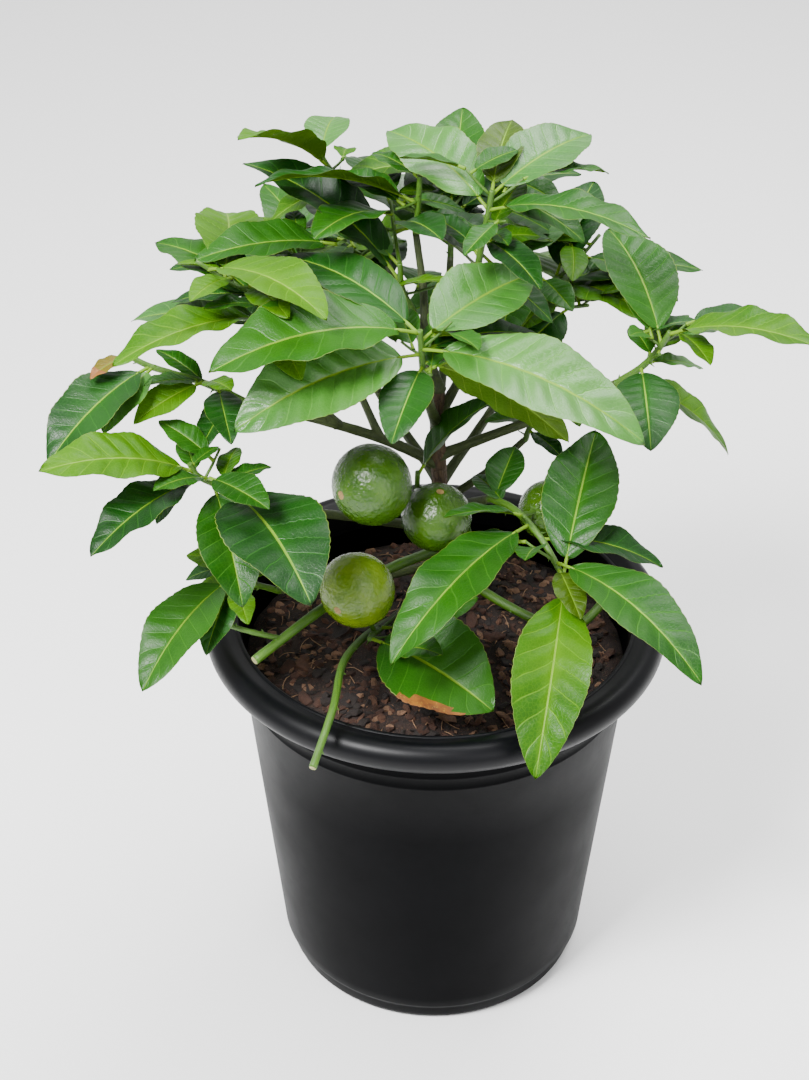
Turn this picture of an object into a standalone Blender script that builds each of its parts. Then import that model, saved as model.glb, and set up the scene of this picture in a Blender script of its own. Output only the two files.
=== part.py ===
"""Potted rangpur lime tree: a young citrus with a slim trunk, green limes and large leaves in a nursery pot.

Run with: blender --background --python part.py

Units are metres and +Z is up. The origin is the middle of the pot's flat underside, and -Y is the
side that faces the viewer. Places along the limbs and shoots are written in millimetres.
"""
import bpy
import bmesh
import random
from math import acos, cos, pi, radians, sin
from mathutils import Matrix, Vector
from mathutils.bvhtree import BVHTree

for stale in list(bpy.data.objects):
    bpy.data.objects.remove(stale, do_unlink=True)

MM = 0.001
CLEAR = 0.0003              # gap between solids that meet

# Pot: a ten inch nursery pot with a rolled rim
POT_HEIGHT = 0.232
RIM_RADIUS = 0.125
RIM_ROLL = 0.016            # height and depth of the rolled rim
BODY_TOP_RADIUS = 0.1075    # body just under the rim
BODY_FOOT_RADIUS = 0.0885
FOOT_RADIUS = 0.0865        # small step at the foot
FOOT_HEIGHT = 0.012
POT_WALL = 0.0026
POT_FLOOR = 0.004
POT_SEGMENTS = 56

# Potting mix inside the pot
SOIL_EDGE = 0.203           # level along the pot wall
SOIL_TOP = 0.212            # level of the flat middle
SOIL_FLAT_RADIUS = 0.066

# Limbs
TRUNK_SIDES = 4             # bevel resolution: 12 sides
LIMB_SIDES = 2              # 8 sides
STEM_SIDES = 1              # 6 sides
TWIG_SIDES = 0              # 4 sides
PATH_STEPS = 3              # spans between two path points

# Leaves: lengths run from the stem's middle to the leaf's tip, stalk and blade together
LEAF_STATIONS = (0.0, 0.05, 0.12, 0.30, 0.52, 0.75, 0.92, 1.0)
STALK_SHARE = 0.11          # stalk, as a share of the whole leaf
STALK_HALF_WIDTH = 0.0010
LEAF_THICKNESS = 0.020      # at the midrib, as a share of the length
LEAF_WIDTH = 0.44           # usual width, as a share of the length
LEAF_FOLD = radians(14)     # how far each half rises from the midrib
STEM_TIP_RADIUS = 0.0014
SIDE_STEM_RADIUS = 0.0022   # stem that leaves the trunk's side
STALK_RADIUS = 0.0013       # fruit stalks
LEAF_ROOT = 0.0016          # how far a leaf at a stem's end is rooted inside it
LEAF_MARGIN = 0.0005        # free space kept round a leaf
FREE_STATION = 3            # leaves on one stem may touch only before this station

# Growth rule for the twigs that no list names
GOLDEN_ANGLE = 137.5
TWIG_LENGTH = 0.034
TWIG_RISE = 28
TWIG_RADIUS = 0.0012
TWIG_TIP = 0.0010
TWIG_MARGIN = 0.0008
RULE_LEAF = 0.078
CROWN_MIDDLE = Vector((0.0, 0.022, 0.350))
CROWN_REACH = Vector((0.190, 0.158, 0.130))

# Turns and lifts, in degrees, that a leaf may take to miss its neighbours
NUDGES = ((0, 0), (0, 6), (7, 0), (-7, 0), (0, -6), (7, 6), (-7, 6), (12, -4), (-12, -4), (0, 12),
          (16, 4), (-16, 4), (0, -12), (20, -6), (-20, -6))


def mm(point):
    return Vector(point) * MM


# Limbs, each with the limb it grows from, its path in millimetres and its radii at root and tip.
# "tip" means that it carries on from the end of that limb, "side" that it leaves it sideways.
TRUNK_PATH = [(0, 41, 212.3), (0, 41, 219), (1, 40, 240), (2, 39, 270), (1, 38, 296), (0, 34, 325),
              (0, 30, 350)]
TRUNK_RADII = [8.6, 6.4, 5.3, 4.7, 4.3, 4.0, 3.6]

LIMBS = [
    ("bough_middle", "trunk", "tip", [(0, 30, 350), (-6, 36, 368), (-14, 43, 388)], 3.3, 2.5),
    ("bough_front", "trunk", "side", [(0, 33, 326), (-4, 12, 350), (-7, -8, 378)], 2.9, 2.2),
    ("bough_top_right", "trunk", "side", [(0, 33, 330), (14, 34, 362), (18, 38, 405)], 2.7, 2.0),
    ("bough_top", "bough_middle", "side", [(-7, 37, 370), (-8, 53, 394), (-12, 59, 424)], 2.2, 1.8),
    ("bough_top_left", "bough_middle", "side", [(-7, 37, 371), (-24, 66, 396), (-42, 92, 428)], 2.1, 1.6),
    ("bough_far_left", "trunk", "side", [(1, 38, 298), (-28, 30, 318), (-60, 16, 338), (-97, 2, 357)], 3.1,
     2.1),
    ("bough_left", "bough_far_left", "side", [(-52, 20, 333), (-68, 12, 358), (-82, 9, 388)], 2.3, 1.8),
    ("bough_left_back", "bough_far_left", "side", [(-30, 29, 319), (-48, 44, 356), (-66, 53, 396)], 2.2, 1.7),
    ("bough_low_left", "trunk", "side", [(2, 40, 254), (-38, 14, 278), (-72, -18, 305), (-98, -38, 326)],
     2.8, 1.9),
    ("bough_rim_left", "trunk", "side", [(1, 41, 230), (-45, 10, 238), (-82, -22, 256)], 2.5, 1.8),
    ("bough_right", "trunk", "side", [(1, 37, 304), (28, 38, 316), (62, 34, 334), (92, 26, 356)], 3.0, 2.1),
    ("bough_mid_right", "trunk", "side", [(2, 39, 272), (28, 44, 290), (47, 50, 306)], 2.4, 1.8),
    ("bough_low_right", "trunk", "side", [(2, 40, 258), (14, 22, 282), (28, 6, 297)], 2.7, 2.2),
    ("bough_low_front", "trunk", "side", [(0, 41, 226), (-14, 6, 228), (-30, -30, 237)], 2.5, 1.9),
    ("bough_back_left", "trunk", "side", [(1, 38, 288), (-28, 66, 318), (-52, 92, 350)], 2.8, 1.9),
    ("bough_back_right", "trunk", "side", [(1, 38, 284), (30, 70, 314), (52, 96, 348)], 2.8, 1.9),
    ("bough_back", "trunk", "side", [(0, 34, 322), (4, 62, 362), (6, 88, 396)], 2.5, 1.8),
    ("cut_shoot_left", "trunk", "side", [(1, 40, 240), (-28, 2, 252), (-58, -38, 257), (-92, -69, 246)],
     2.9, 2.5),
    ("cut_shoot_thin", "cut_shoot_left", "side", [(-79, -57, 251), (-98, -59, 258), (-115, -60, 266)], 1.5,
     1.3),
    ("cut_shoot_right", "trunk", "side", [(1, 41, 234), (34, 10, 228), (72, -12, 226), (98, -2, 247)], 2.8,
     2.4),
    ("cut_shoot_front", "bough_low_front", "side", [(-17, -4, 229), (-36, -28, 232), (-47, -62, 240),
                                                    (-50, -104, 245), (-59, -134, 231)], 2.1, 1.9),
]

# Shoots. The stem goes on from the tip of its limb. Each leaf is (place along the stem, heading,
# rise, length[, roll[, width share]]), angles in degrees and length in millimetres: heading 0 is
# to the right and -90 towards the viewer. Each lime is (place along the stem, middle, radius).
SHOOTS = [
    dict(name="foliage_crown_front", limb="bough_front", stem=[(-8, -13, 392), (-9, -14, 408)], seed=1,
         twigs=0,
         leaves=[(0.55, -156, -11, 100, 0, 0.42), (1.0, -158, 0, 107), (0.65, -27, -8, 121, 0, 0.38),
                 (0.8, 50, 8, 76, 0, 0.52), (0.9, 144, 12, 87), (0.4, -5, -29, 85, -70), (0.6, 27, -7, 70),
                 (0.3, -106, -16, 54, 0, 0.5)]),
    dict(name="foliage_crown_middle", limb="bough_middle", stem=[(-19, 45, 400), (-20, 46, 414)], seed=2,
         twigs=1,
         leaves=[(0.95, 142, 14, 66, 0, 0.46), (0.6, 163, 22, 100)]),
    dict(name="foliage_crown_top", limb="bough_top", stem=[(-11, 60, 440), (-10, 60, 456)], seed=3, twigs=1,
         leaves=[(0.5, -160, 16, 88, 20), (0.95, 131, 2, 38), (0.1, 22, -28, 44)]),
    dict(name="foliage_top_left", limb="bough_top_left", stem=[(-56, 90, 444), (-62, 86, 456)], seed=4,
         twigs=1,
         leaves=[(0.7, -130, 30, 74, 15), (1.0, 84, 2, 48, 0, 0.52)]),
    dict(name="foliage_top_right", limb="bough_top_right",
         stem=[(21, 40, 425), (24, 41, 443), (26, 43, 456)], seed=5,
         twigs=0,
         leaves=[(0.8, 133, 14, 78, 0, 0.46), (0.95, 42, 11, 70, 0, 0.46), (0.8, -32, 6, 90, 0, 0.34),
                 (1.0, 78, 12, 56),
                 (0.5, -56, -8, 50), (0.45, 37, -15, 50), (0.3, 127, 17, 36), (0.2, -28, -13, 48),
                 (0.35, 142, 4, 40)]),
    dict(name="foliage_left", limb="bough_left", stem=[(-85, 10, 400), (-88, 11, 414)], seed=6, twigs=1,
         leaves=[(0.5, -144, 1, 87, 0, 0.36), (0.75, 142, 9, 76), (1.0, 165, -12, 50), (0.3, 168, -4, 74)]),
    dict(name="foliage_left_back", limb="bough_left_back", stem=[(-70, 55, 408), (-72, 56, 422)], seed=7,
         twigs=2,
         leaves=[(0.9, 142, 5, 36), (0.5, 153, 6, 44), (0.6, -142, 17, 30), (1.0, 103, 18, 26)]),
    dict(name="foliage_far_left", limb="bough_far_left",
         stem=[(-118, -3, 371), (-143, -5, 381), (-155, -5, 388)], seed=8,
         twigs=0,
         leaves=[(0.8, -128, -17, 75, 0, 0.5), (0.78, -110, -17, 47, 0, 0.5), (1.0, -127, -1, 27),
                 (0.35, 149, 20, 33),
                 (0.4, -141, 17, 34), (0.1, -112, -13, 40), (0.25, -77, -5, 46)]),
    dict(name="foliage_low_left", limb="bough_low_left",
         stem=[(-108, -44, 336), (-117, -48, 344), (-121, -49, 352)],
         seed=9, twigs=0,
         leaves=[(0.2, -60, -7, 90, 0, 0.54), (0.5, -72, -19, 67, 0, 0.5), (0.7, -134, -10, 71),
                 (0.85, -151, 18, 81, 0, 0.42),
                 (0.8, 109, 8, 30), (0.4, 30, 6, 29), (0.95, 52, 6, 20), (0.95, -132, -42, 33)]),
    dict(name="foliage_rim_left", limb="bough_rim_left", stem=[(-95, -30, 266), (-106, -36, 275)], seed=10,
         twigs=0,
         leaves=[(0.95, -122, -17, 80), (0.9, -105, -19, 48), (0.2, 168, -10, 44), (0.6, 60, -4, 44)]),
    dict(name="foliage_right", limb="bough_right", stem=[(104, 22, 368), (112, 20, 380), (117, 20, 390)],
         seed=11,
         twigs=0,
         leaves=[(0.8, 111, 27, 77, 0, 0.5), (1.0, -35, 13, 85, 0, 0.4), (0.4, -88, -16, 56, 0, 0.62),
                 (0.9, 35, -10, 38),
                 (0.6, 108, 4, 30), (0.5, 26, -19, 37), (0.1, 2, -37, 75)]),
    dict(name="foliage_mid_right", limb="bough_mid_right", stem=[(53, 54, 320), (61, 56, 342)], seed=12,
         twigs=1,
         leaves=[(0.95, -78, -9, 43, 0, 0.5), (0.3, -149, 15, 32), (0.15, -54, -4, 30)]),
    dict(name="foliage_right_front", limb="bough_low_right",
         stem=[(40, -8, 300), (53, -27, 296), (63, -43, 286), (67, -48, 279)], seed=13, twigs=0,
         leaves=[(0.92, 76, 27, 89, 0, 0.46), (0.8, -50, -7, 106, 0, 0.36), (0.95, -100, -30, 107, 0, 0.38),
                 (0.45, -130, -13, 112, 0, 0.34), (0.6, -2, -13, 65), (0.85, -75, -8, 38),
                 (0.05, 70, 23, 36, 0, 0.6),
                 (0.15, 119, 0, 31, 0, 0.55)],
         limes=[(0.3, (60, 15, 284), 16.5)]),
    dict(name="foliage_fruit_pair", limb="trunk", root=(2, 40, 246),
         stem=[(-3, 22, 262), (-10, 10, 284), (-10, 5, 314)],
         seed=14, twigs=0,
         leaves=[(0.97, 21, 46, 58, -15, 0.55), (0.75, 150, 8, 38)],
         limes=[(0.75, (-33, -20, 322), 21.0), (0.3, (0, -6, 293), 18.5)]),
    dict(name="foliage_low_front", limb="bough_low_front", stem=[(-33, -40, 241), (-34, -46, 243)],
         seed=15, twigs=0,
         leaves=[(1.0, -34, -9, 78, 0, 0.56)],
         limes=[(0.3, (-40, -48, 276), 19.5)]),
    dict(name="foliage_back_left", limb="bough_back_left", stem=[(-60, 101, 360), (-66, 107, 374)],
         seed=16, twigs=4,
         leaves=[(1.0, 120, 24, 74), (0.8, 178, 6, 84)]),
    dict(name="foliage_back_right", limb="bough_back_right", stem=[(59, 104, 360), (64, 110, 374)],
         seed=17, twigs=4,
         leaves=[(1.0, 70, 24, 74), (0.8, 8, 4, 84)]),
    dict(name="foliage_back_top", limb="bough_back", stem=[(6, 94, 406), (5, 98, 420)], seed=18, twigs=4,
         leaves=[(1.0, 84, 26, 72), (0.85, 20, 10, 76)]),
]


def material(name, colour, roughness):
    """A plain finish for one sub-part."""
    finish = bpy.data.materials.new(name)
    finish.use_nodes = True
    shader = finish.node_tree.nodes["Principled BSDF"]
    shader.inputs["Base Color"].default_value = (*colour, 1.0)
    shader.inputs["Roughness"].default_value = roughness
    shader.inputs["Metallic"].default_value = 0.0
    finish.diffuse_color = (*colour, 1.0)
    return finish


def collection(name):
    group = bpy.data.collections.new(name)
    bpy.context.scene.collection.children.link(group)
    return group


TREE = collection("potted_lime_tree")


def add_mesh(name, bm, group=TREE, finish=None):
    """Turn a bmesh into a named object."""
    mesh = bpy.data.meshes.new(name)
    bm.to_mesh(mesh)
    bm.free()
    return add_object(name, mesh, group, finish)


def add_object(name, data, group=TREE, finish=None):
    thing = bpy.data.objects.new(name, data)
    group.objects.link(thing)
    if finish:
        thing.data.materials.append(finish)
    return thing


def turned(name, profile, segments, finish):
    """A turned piece: the profile, (radius, height) points, swept once round the Z axis."""
    bm = bmesh.new()
    points = [bm.verts.new((radius, 0.0, height)) for radius, height in profile]
    for a, b in zip(points, points[1:]):
        bm.edges.new((a, b))
    piece = add_mesh(name, bm, finish=finish)
    sweep = piece.modifiers.new("turn", "SCREW")
    sweep.steps = segments
    sweep.render_steps = segments
    sweep.use_merge_vertices = True
    sweep.merge_threshold = 0.0001
    return piece


def arc(centre, radius, start, end, steps):
    """Points of a circular arc, angles in degrees from the outward direction."""
    turn = [radians(start + (end - start) * k / steps) for k in range(steps + 1)]
    return [(centre[0] + radius * cos(a), centre[1] + radius * sin(a)) for a in turn]


def inner_radius(height):
    """Inside of the pot wall at a height."""
    share = (height - FOOT_HEIGHT) / (POT_HEIGHT - RIM_ROLL - FOOT_HEIGHT)
    return BODY_FOOT_RADIUS + (BODY_TOP_RADIUS - BODY_FOOT_RADIUS) * share - POT_WALL


def make_pot():
    """Tapered body with a step at the foot and a rolled rim."""
    roll = RIM_ROLL / 2
    rim_middle = (RIM_RADIUS - roll, POT_HEIGHT - roll)
    mouth = inner_radius(POT_HEIGHT - RIM_ROLL)
    profile = [(0.0, POT_FLOOR), (inner_radius(POT_FLOOR) - 0.002, POT_FLOOR),
               (inner_radius(FOOT_HEIGHT), FOOT_HEIGHT),
               (mouth, POT_HEIGHT - RIM_ROLL), (mouth + 0.0015, POT_HEIGHT - 0.004)]
    profile += arc(rim_middle, roll, 105, -80, 8)
    profile += [(BODY_TOP_RADIUS, POT_HEIGHT - RIM_ROLL - 0.001), (BODY_FOOT_RADIUS, FOOT_HEIGHT),
                (FOOT_RADIUS, FOOT_HEIGHT - 0.002), (FOOT_RADIUS - 0.001, 0.003),
                (FOOT_RADIUS - 0.004, 0.0), (0.0, 0.0)]
    return turned("pot", profile, POT_SEGMENTS, material("black_plastic", (0.012, 0.014, 0.018), 0.42))


def make_soil():
    """Potting mix that fills the pot to a shallow mound."""
    low = POT_FLOOR + CLEAR
    profile = [(0.0, SOIL_TOP), (SOIL_FLAT_RADIUS, SOIL_TOP),
               (inner_radius(SOIL_EDGE) - 0.004, SOIL_EDGE + 0.0012),
               (inner_radius(SOIL_EDGE) - CLEAR, SOIL_EDGE), (inner_radius(FOOT_HEIGHT) - CLEAR, FOOT_HEIGHT),
               (inner_radius(low) - 0.002 - CLEAR, low), (0.0, low)]
    return turned("soil", profile, POT_SEGMENTS, material("bark_mix", (0.09, 0.045, 0.03), 0.9))


def smooth_path(points, steps):
    """A Catmull-Rom curve through the points."""
    ends = [points[0] * 2 - points[1]] + list(points) + [points[-1] * 2 - points[-2]]
    path = []
    for a, b, c, d in zip(ends, ends[1:], ends[2:], ends[3:]):
        for k in range(steps):
            t = k / steps
            path.append(0.5 * (2 * b + (c - a) * t + (2 * a - 5 * b + 4 * c - d) * t ** 2
                               + (3 * b - a - 3 * c + d) * t ** 3))
    return path + [points[-1].copy()]


def along(path, share, short=0.0):
    """Point and direction at a share of a path's length, at least a little short of its end."""
    lengths = [(b - a).length for a, b in zip(path, path[1:])]
    goal = max(0.0, min(share * sum(lengths), sum(lengths) - short))
    for a, b, length in zip(path, path[1:], lengths):
        if goal <= length + 1e-9:
            return a.lerp(b, goal / length), (b - a).normalized()
        goal -= length
    return path[-1].copy(), (path[-1] - path[-2]).normalized()


def taper(path, root, tip):
    """Radii that narrow evenly along a path."""
    last = len(path) - 1
    return [root + (tip - root) * k / last for k in range(last + 1)]


def tube(name, path, radii, sides, group=TREE, finish=None):
    """A round limb: a curve with a thickness at each point."""
    curve = bpy.data.curves.new(name, "CURVE")
    curve.dimensions = "3D"
    curve.bevel_depth = 1.0
    curve.bevel_resolution = sides
    curve.use_fill_caps = True
    spline = curve.splines.new("POLY")
    spline.points.add(len(path) - 1)
    for point, place, radius in zip(spline.points, path, radii):
        point.co = (*place, 1.0)
        point.radius = radius
    return add_object(name, curve, group, finish)


def as_mesh(thing, group=TREE):
    """The same object as a mesh with its caps welded, in place of a curve."""
    bpy.context.view_layer.update()
    seen = thing.evaluated_get(bpy.context.evaluated_depsgraph_get())
    mesh = bpy.data.meshes.new_from_object(seen)
    bm = bmesh.new()
    bm.from_mesh(mesh)
    bmesh.ops.remove_doubles(bm, verts=bm.verts, dist=1e-6)
    bm.to_mesh(mesh)
    bm.free()
    name, place = thing.name, thing.matrix_world.copy()
    bpy.data.objects.remove(thing, do_unlink=True)
    mesh.name = name
    solid = bpy.data.objects.new(name, mesh)
    solid.matrix_world = place
    group.objects.link(solid)
    return solid


def surface_distance(point, path, radii):
    """Distance from a point to the surface of a limb."""
    nearest = 1.0
    for a, b, ra, rb in zip(path, path[1:], radii, radii[1:]):
        span = b - a
        share = max(0.0, min(1.0, (point - a).dot(span) / span.length_squared))
        nearest = min(nearest, (point - a - span * share).length - (ra + (rb - ra) * share))
    return nearest


def leave_side(path, radius, parent):
    """Cut the start of a path so that a limb of that radius stands clear of its parent's side."""
    reach = sum((b - a).length for a, b in zip(path, path[1:]))
    share = 0.0
    while share < 0.5:
        middle, heading = along(path, share)
        across = heading.orthogonal().normalized()
        ring = [middle] + [middle + Matrix.Rotation(k * pi / 4, 3,
                                                    heading) @ across * radius for k in range(8)]
        if min(surface_distance(point, *parent) for point in ring) >= CLEAR:
            break
        share += 0.0002 / reach
    start = along(path, share)[0]
    travelled, rest = share * reach, []
    for a, b in zip(path, path[1:]):
        travelled -= (b - a).length
        if travelled < -0.001:
            rest.append(b)
    return [start] + rest


def carry_on(limb, radii, path):
    """Start a path at the clear gap past a limb's end, square to that end."""
    ahead = (limb[-1] - limb[-2]).normalized()
    start = limb[-1] + ahead * CLEAR
    return [start, start + ahead * radii[-1] * 0.6] + path[1:]


def make_limbs():
    """Trunk, boughs and pruned shoots; returns each one's path and radii."""
    bark = material("bark_brown", (0.16, 0.11, 0.055), 0.8)
    green_bark = material("bark_green", (0.10, 0.17, 0.035), 0.6)
    path = smooth_path([mm(p) for p in TRUNK_PATH], 1)
    grown = {"trunk": (path, [r * MM for r in TRUNK_RADII])}
    tube("trunk", *grown["trunk"], TRUNK_SIDES, finish=bark)
    for name, parent, joint, points, root, tip in LIMBS:
        path = smooth_path([mm(p) for p in points], PATH_STEPS)
        if joint == "tip":
            path = carry_on(*grown[parent], path)
        else:
            path = leave_side(path, root * MM, grown[parent])
        grown[name] = (path, taper(path, root * MM, tip * MM))
        tube(name, *grown[name], LIMB_SIDES, finish=green_bark if name.startswith("cut") else bark)
    return grown


def half_width(share, width):
    """Half the width of a leaf at a share of its length: a slim stalk, then a blade drawn out to the tip."""
    if share <= STALK_SHARE:
        return STALK_HALF_WIDTH
    blade = (share - STALK_SHARE) / (1.0 - STALK_SHARE)
    return max(STALK_HALF_WIDTH, 0.5 * width * sin(pi * blade ** 0.88) ** 0.85)


def arch_of(length):
    """Rise of the middle of a leaf over its chord, as a share of its length."""
    return 0.04 + 0.6 * length


def leaf_solid(place, grow=0.0, start=0):
    """A leaf, from a sphere with four meridians: its two edges, its upper and its lower midrib."""
    base, ahead, side, up, length, width = place
    bm = bmesh.new()
    rings = len(LEAF_STATIONS) - 1
    bmesh.ops.create_uvsphere(bm, u_segments=4, v_segments=rings, radius=1.0)
    for point in bm.verts:
        polar = acos(max(-1.0, min(1.0, point.co.z)))
        ring = sin(polar)
        across, over = (point.co.x / ring, point.co.y / ring) if ring > 0.01 else (0.0, 0.0)
        share = max(LEAF_STATIONS[start], LEAF_STATIONS[round(polar / pi * rings)])
        half = half_width(share, width * length) + grow
        thick = LEAF_THICKNESS * length * (1.0 - 0.6 * share ** 3) + 2 * grow
        lift = arch_of(length) * length * 4 * share * (1.0 - share)
        point.co = (base + ahead * (share * length) + side * (across * half * cos(LEAF_FOLD))
                    + up * (lift + abs(across) * half * sin(LEAF_FOLD) + over * thick / 2))
    return bm


def leaf_place(base, heading, rise, length, roll, width):
    """Axes of a leaf from its heading, rise and roll in degrees."""
    h, r = radians(heading), radians(rise)
    ahead = Vector((cos(r) * cos(h), cos(r) * sin(h), sin(r)))
    up = (Vector((0, 0, 1)) - ahead * ahead.z).normalized()
    up = Matrix.Rotation(radians(roll), 3, ahead) @ up
    return base, ahead, ahead.cross(up), up, length, width


def tree_of(bm):
    found = BVHTree.FromBMesh(bm)
    bm.free()
    return found


def touches(path, radius, solids):
    """Whether a twig on a path would touch any of the solids."""
    for a, b in zip(path, path[1:]):
        span = b - a
        for solid in solids:
            if solid.ray_cast(a, span.normalized(), span.length)[0]:
                return True
            near = solid.find_nearest(b, radius + TWIG_MARGIN)[0]
            if near:
                return True
    return False


def fit_leaf(others, own, base, heading, rise, length, roll=0, width=LEAF_WIDTH, inside=False):
    """The nearest free lie of a leaf, or None where it would touch a neighbour."""
    for turn, lift in NUDGES:
        place = leaf_place(base, heading + turn, rise + lift, length, roll, width)
        tip = base + place[1] * length
        if inside and sum(((tip[k] - CROWN_MIDDLE[k]) / CROWN_REACH[k]) ** 2 for k in range(3)) > 1.0:
            continue
        outer = tree_of(leaf_solid(place, LEAF_MARGIN, FREE_STATION))
        if any(outer.overlap(leaf) for leaf in own):
            continue
        whole = tree_of(leaf_solid(place, LEAF_MARGIN))
        if not any(whole.overlap(solid) for solid in others):
            own.append(tree_of(leaf_solid(place, 0.0, FREE_STATION)))
            return place
    return None


def rule_leaves(shoot, path, others, own):
    """Twigs and their leaves, by the growth rule: each twig a golden angle on from the last."""
    dice = random.Random(shoot["seed"])
    twigs, leaves = [], []
    for k in range(shoot["twigs"]):
        root, _ = along(path, 0.94 - 0.2 * k)
        heading = 60 + 20 * shoot["seed"] + GOLDEN_ANGLE * k
        ahead = leaf_place(root, heading, TWIG_RISE - 6 * k + dice.uniform(-6, 6), 0, 0, 0)[1]
        end = root + ahead * TWIG_LENGTH * dice.uniform(0.8, 1.15)
        middle = root.lerp(end, 0.5) + Vector((0, 0, -0.002))
        twig = smooth_path([root, middle, end], 2)
        if touches(twig, TWIG_RADIUS, others + own):
            continue
        kept = []
        for j, share in enumerate((1.0, 0.8, 0.55)):
            base, _ = along(twig, share, LEAF_ROOT)
            turn = GOLDEN_ANGLE * j if j else 8
            place = fit_leaf(others, own, base, heading + turn * (-1) ** k, 18 - 14 * j + dice.uniform(-8, 8),
                             RULE_LEAF * dice.uniform(0.8, 1.15), dice.uniform(-12, 12),
                             LEAF_WIDTH * dice.uniform(0.92, 1.08), inside=True)
            if place:
                kept.append(place)
        if kept:
            twigs.append(twig)
            leaves += kept
    return twigs, leaves


def stem_of(shoot):
    """Path and root radius of a shoot's stem."""
    points = [mm(p) for p in shoot["stem"]]
    limb_path, limb_radii = LIMB_SHAPES[shoot["limb"]]
    if "root" in shoot:
        path = smooth_path([mm(shoot["root"])] + points, PATH_STEPS)
        return leave_side(path, SIDE_STEM_RADIUS, LIMB_SHAPES[shoot["limb"]]), SIDE_STEM_RADIUS
    return carry_on(limb_path, limb_radii, smooth_path([limb_path[-1]] + points, PATH_STEPS)), limb_radii[-1]


def grow_leaves(shoot, path, others):
    """The leaves that are listed for a shoot, then the twigs and leaves of the growth rule."""
    leaves, own = [], []
    for share, heading, rise, length, *rest in shoot["leaves"]:
        base, _ = along(path, share, LEAF_ROOT)
        place = fit_leaf(others, own, base, heading, rise, length * MM, *rest)
        if place:
            leaves.append(place)
        else:
            print("skipped", shoot["name"], share, heading)
    twigs, more = rule_leaves(shoot, path, others, own)
    return twigs, leaves + more


def lime(centre, radius):
    """A lime, a little flattened from stalk to tip."""
    bm = bmesh.new()
    bmesh.ops.create_uvsphere(bm, u_segments=14, v_segments=9, radius=radius)
    bmesh.ops.scale(bm, vec=(1.0, 1.0, 0.95), verts=bm.verts)
    bmesh.ops.translate(bm, vec=centre, verts=bm.verts)
    return bm


def make_core(shoot, finish):
    """Stem of a mass, and the limes and fruit stalks that will be joined to it."""
    name = shoot["name"]
    path, radius = stem_of(shoot)
    stem = as_mesh(tube(name, path, taper(path, radius, STEM_TIP_RADIUS), STEM_SIDES, finish=finish))
    pieces = collection(name + "_pieces")
    for k, (share, centre, lime_radius) in enumerate(shoot.get("limes", ())):
        add_mesh(f"{name}_lime_{k}", lime(mm(centre), lime_radius * MM), pieces)
        base, _ = along(path, share)
        stalk = [base, base.lerp(mm(centre), 0.5), mm(centre)]
        as_mesh(tube(f"{name}_fruit_stalk_{k}", stalk, [STALK_RADIUS] * 3, TWIG_SIDES, pieces), pieces)
    return path, stem, pieces


def join_mass(shoot, path, stem, pieces, others, finish):
    """One mass of foliage: everything on its stem joined by one Boolean union."""
    name = shoot["name"]
    twigs, leaves = grow_leaves(shoot, path, others)
    for k, twig in enumerate(twigs):
        as_mesh(tube(f"{name}_twig_{k}", twig, taper(twig, TWIG_RADIUS, TWIG_TIP), TWIG_SIDES, pieces),
                pieces)
    for k, place in enumerate(leaves):
        add_mesh(f"{name}_leaf_{k}", leaf_solid(place), pieces)
    union = stem.modifiers.new("join", "BOOLEAN")
    union.operation = "UNION"
    union.operand_type = "COLLECTION"
    union.collection = pieces
    union.solver = "EXACT"
    bpy.context.view_layer.update()
    joined = bpy.data.meshes.new_from_object(stem.evaluated_get(bpy.context.evaluated_depsgraph_get()))
    stem.modifiers.clear()
    stem.data = joined
    joined.materials.clear()
    joined.materials.append(finish)
    for piece in list(pieces.objects):
        bpy.data.objects.remove(piece, do_unlink=True)
    bpy.data.collections.remove(pieces)
    return stem


def solid_tree(thing):
    """Collision tree of an object as it is seen."""
    bpy.context.view_layer.update()
    seen = thing.evaluated_get(bpy.context.evaluated_depsgraph_get())
    mesh = bpy.data.meshes.new_from_object(seen)
    bm = bmesh.new()
    bm.from_mesh(mesh)
    bpy.data.meshes.remove(mesh)
    return tree_of(bm)


make_pot()
make_soil()
LIMB_SHAPES = make_limbs()
limbs = [solid_tree(thing) for thing in list(TREE.objects)]
leaf_green = material("leaf_green", (0.05, 0.22, 0.035), 0.4)
cores = {plan["name"]: make_core(plan, leaf_green) for plan in SHOOTS}
masses = {name: [solid_tree(thing) for thing in [stem, *pieces.objects]]
          for name, (path, stem, pieces) in cores.items()}
for plan in SHOOTS:
    neighbours = [tree for name, trees in masses.items() if name != plan["name"] for tree in trees]
    mass = join_mass(plan, *cores[plan["name"]], limbs + neighbours, leaf_green)
    masses[plan["name"]] = [solid_tree(mass)]
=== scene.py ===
"""Looks of a potted rangpur lime tree: bark, twigs, leaves, limes, bark mix and nursery pot.

Every length is in metres unless a name or a note says millimetres. The tree stands on the origin,
and -Y is the side that faces the viewer.
"""
import random
from math import cos, pi, radians, sin, tau

import bmesh
import bpy
from mathutils import Matrix, Vector, noise
from mathutils.bvhtree import BVHTree


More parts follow.
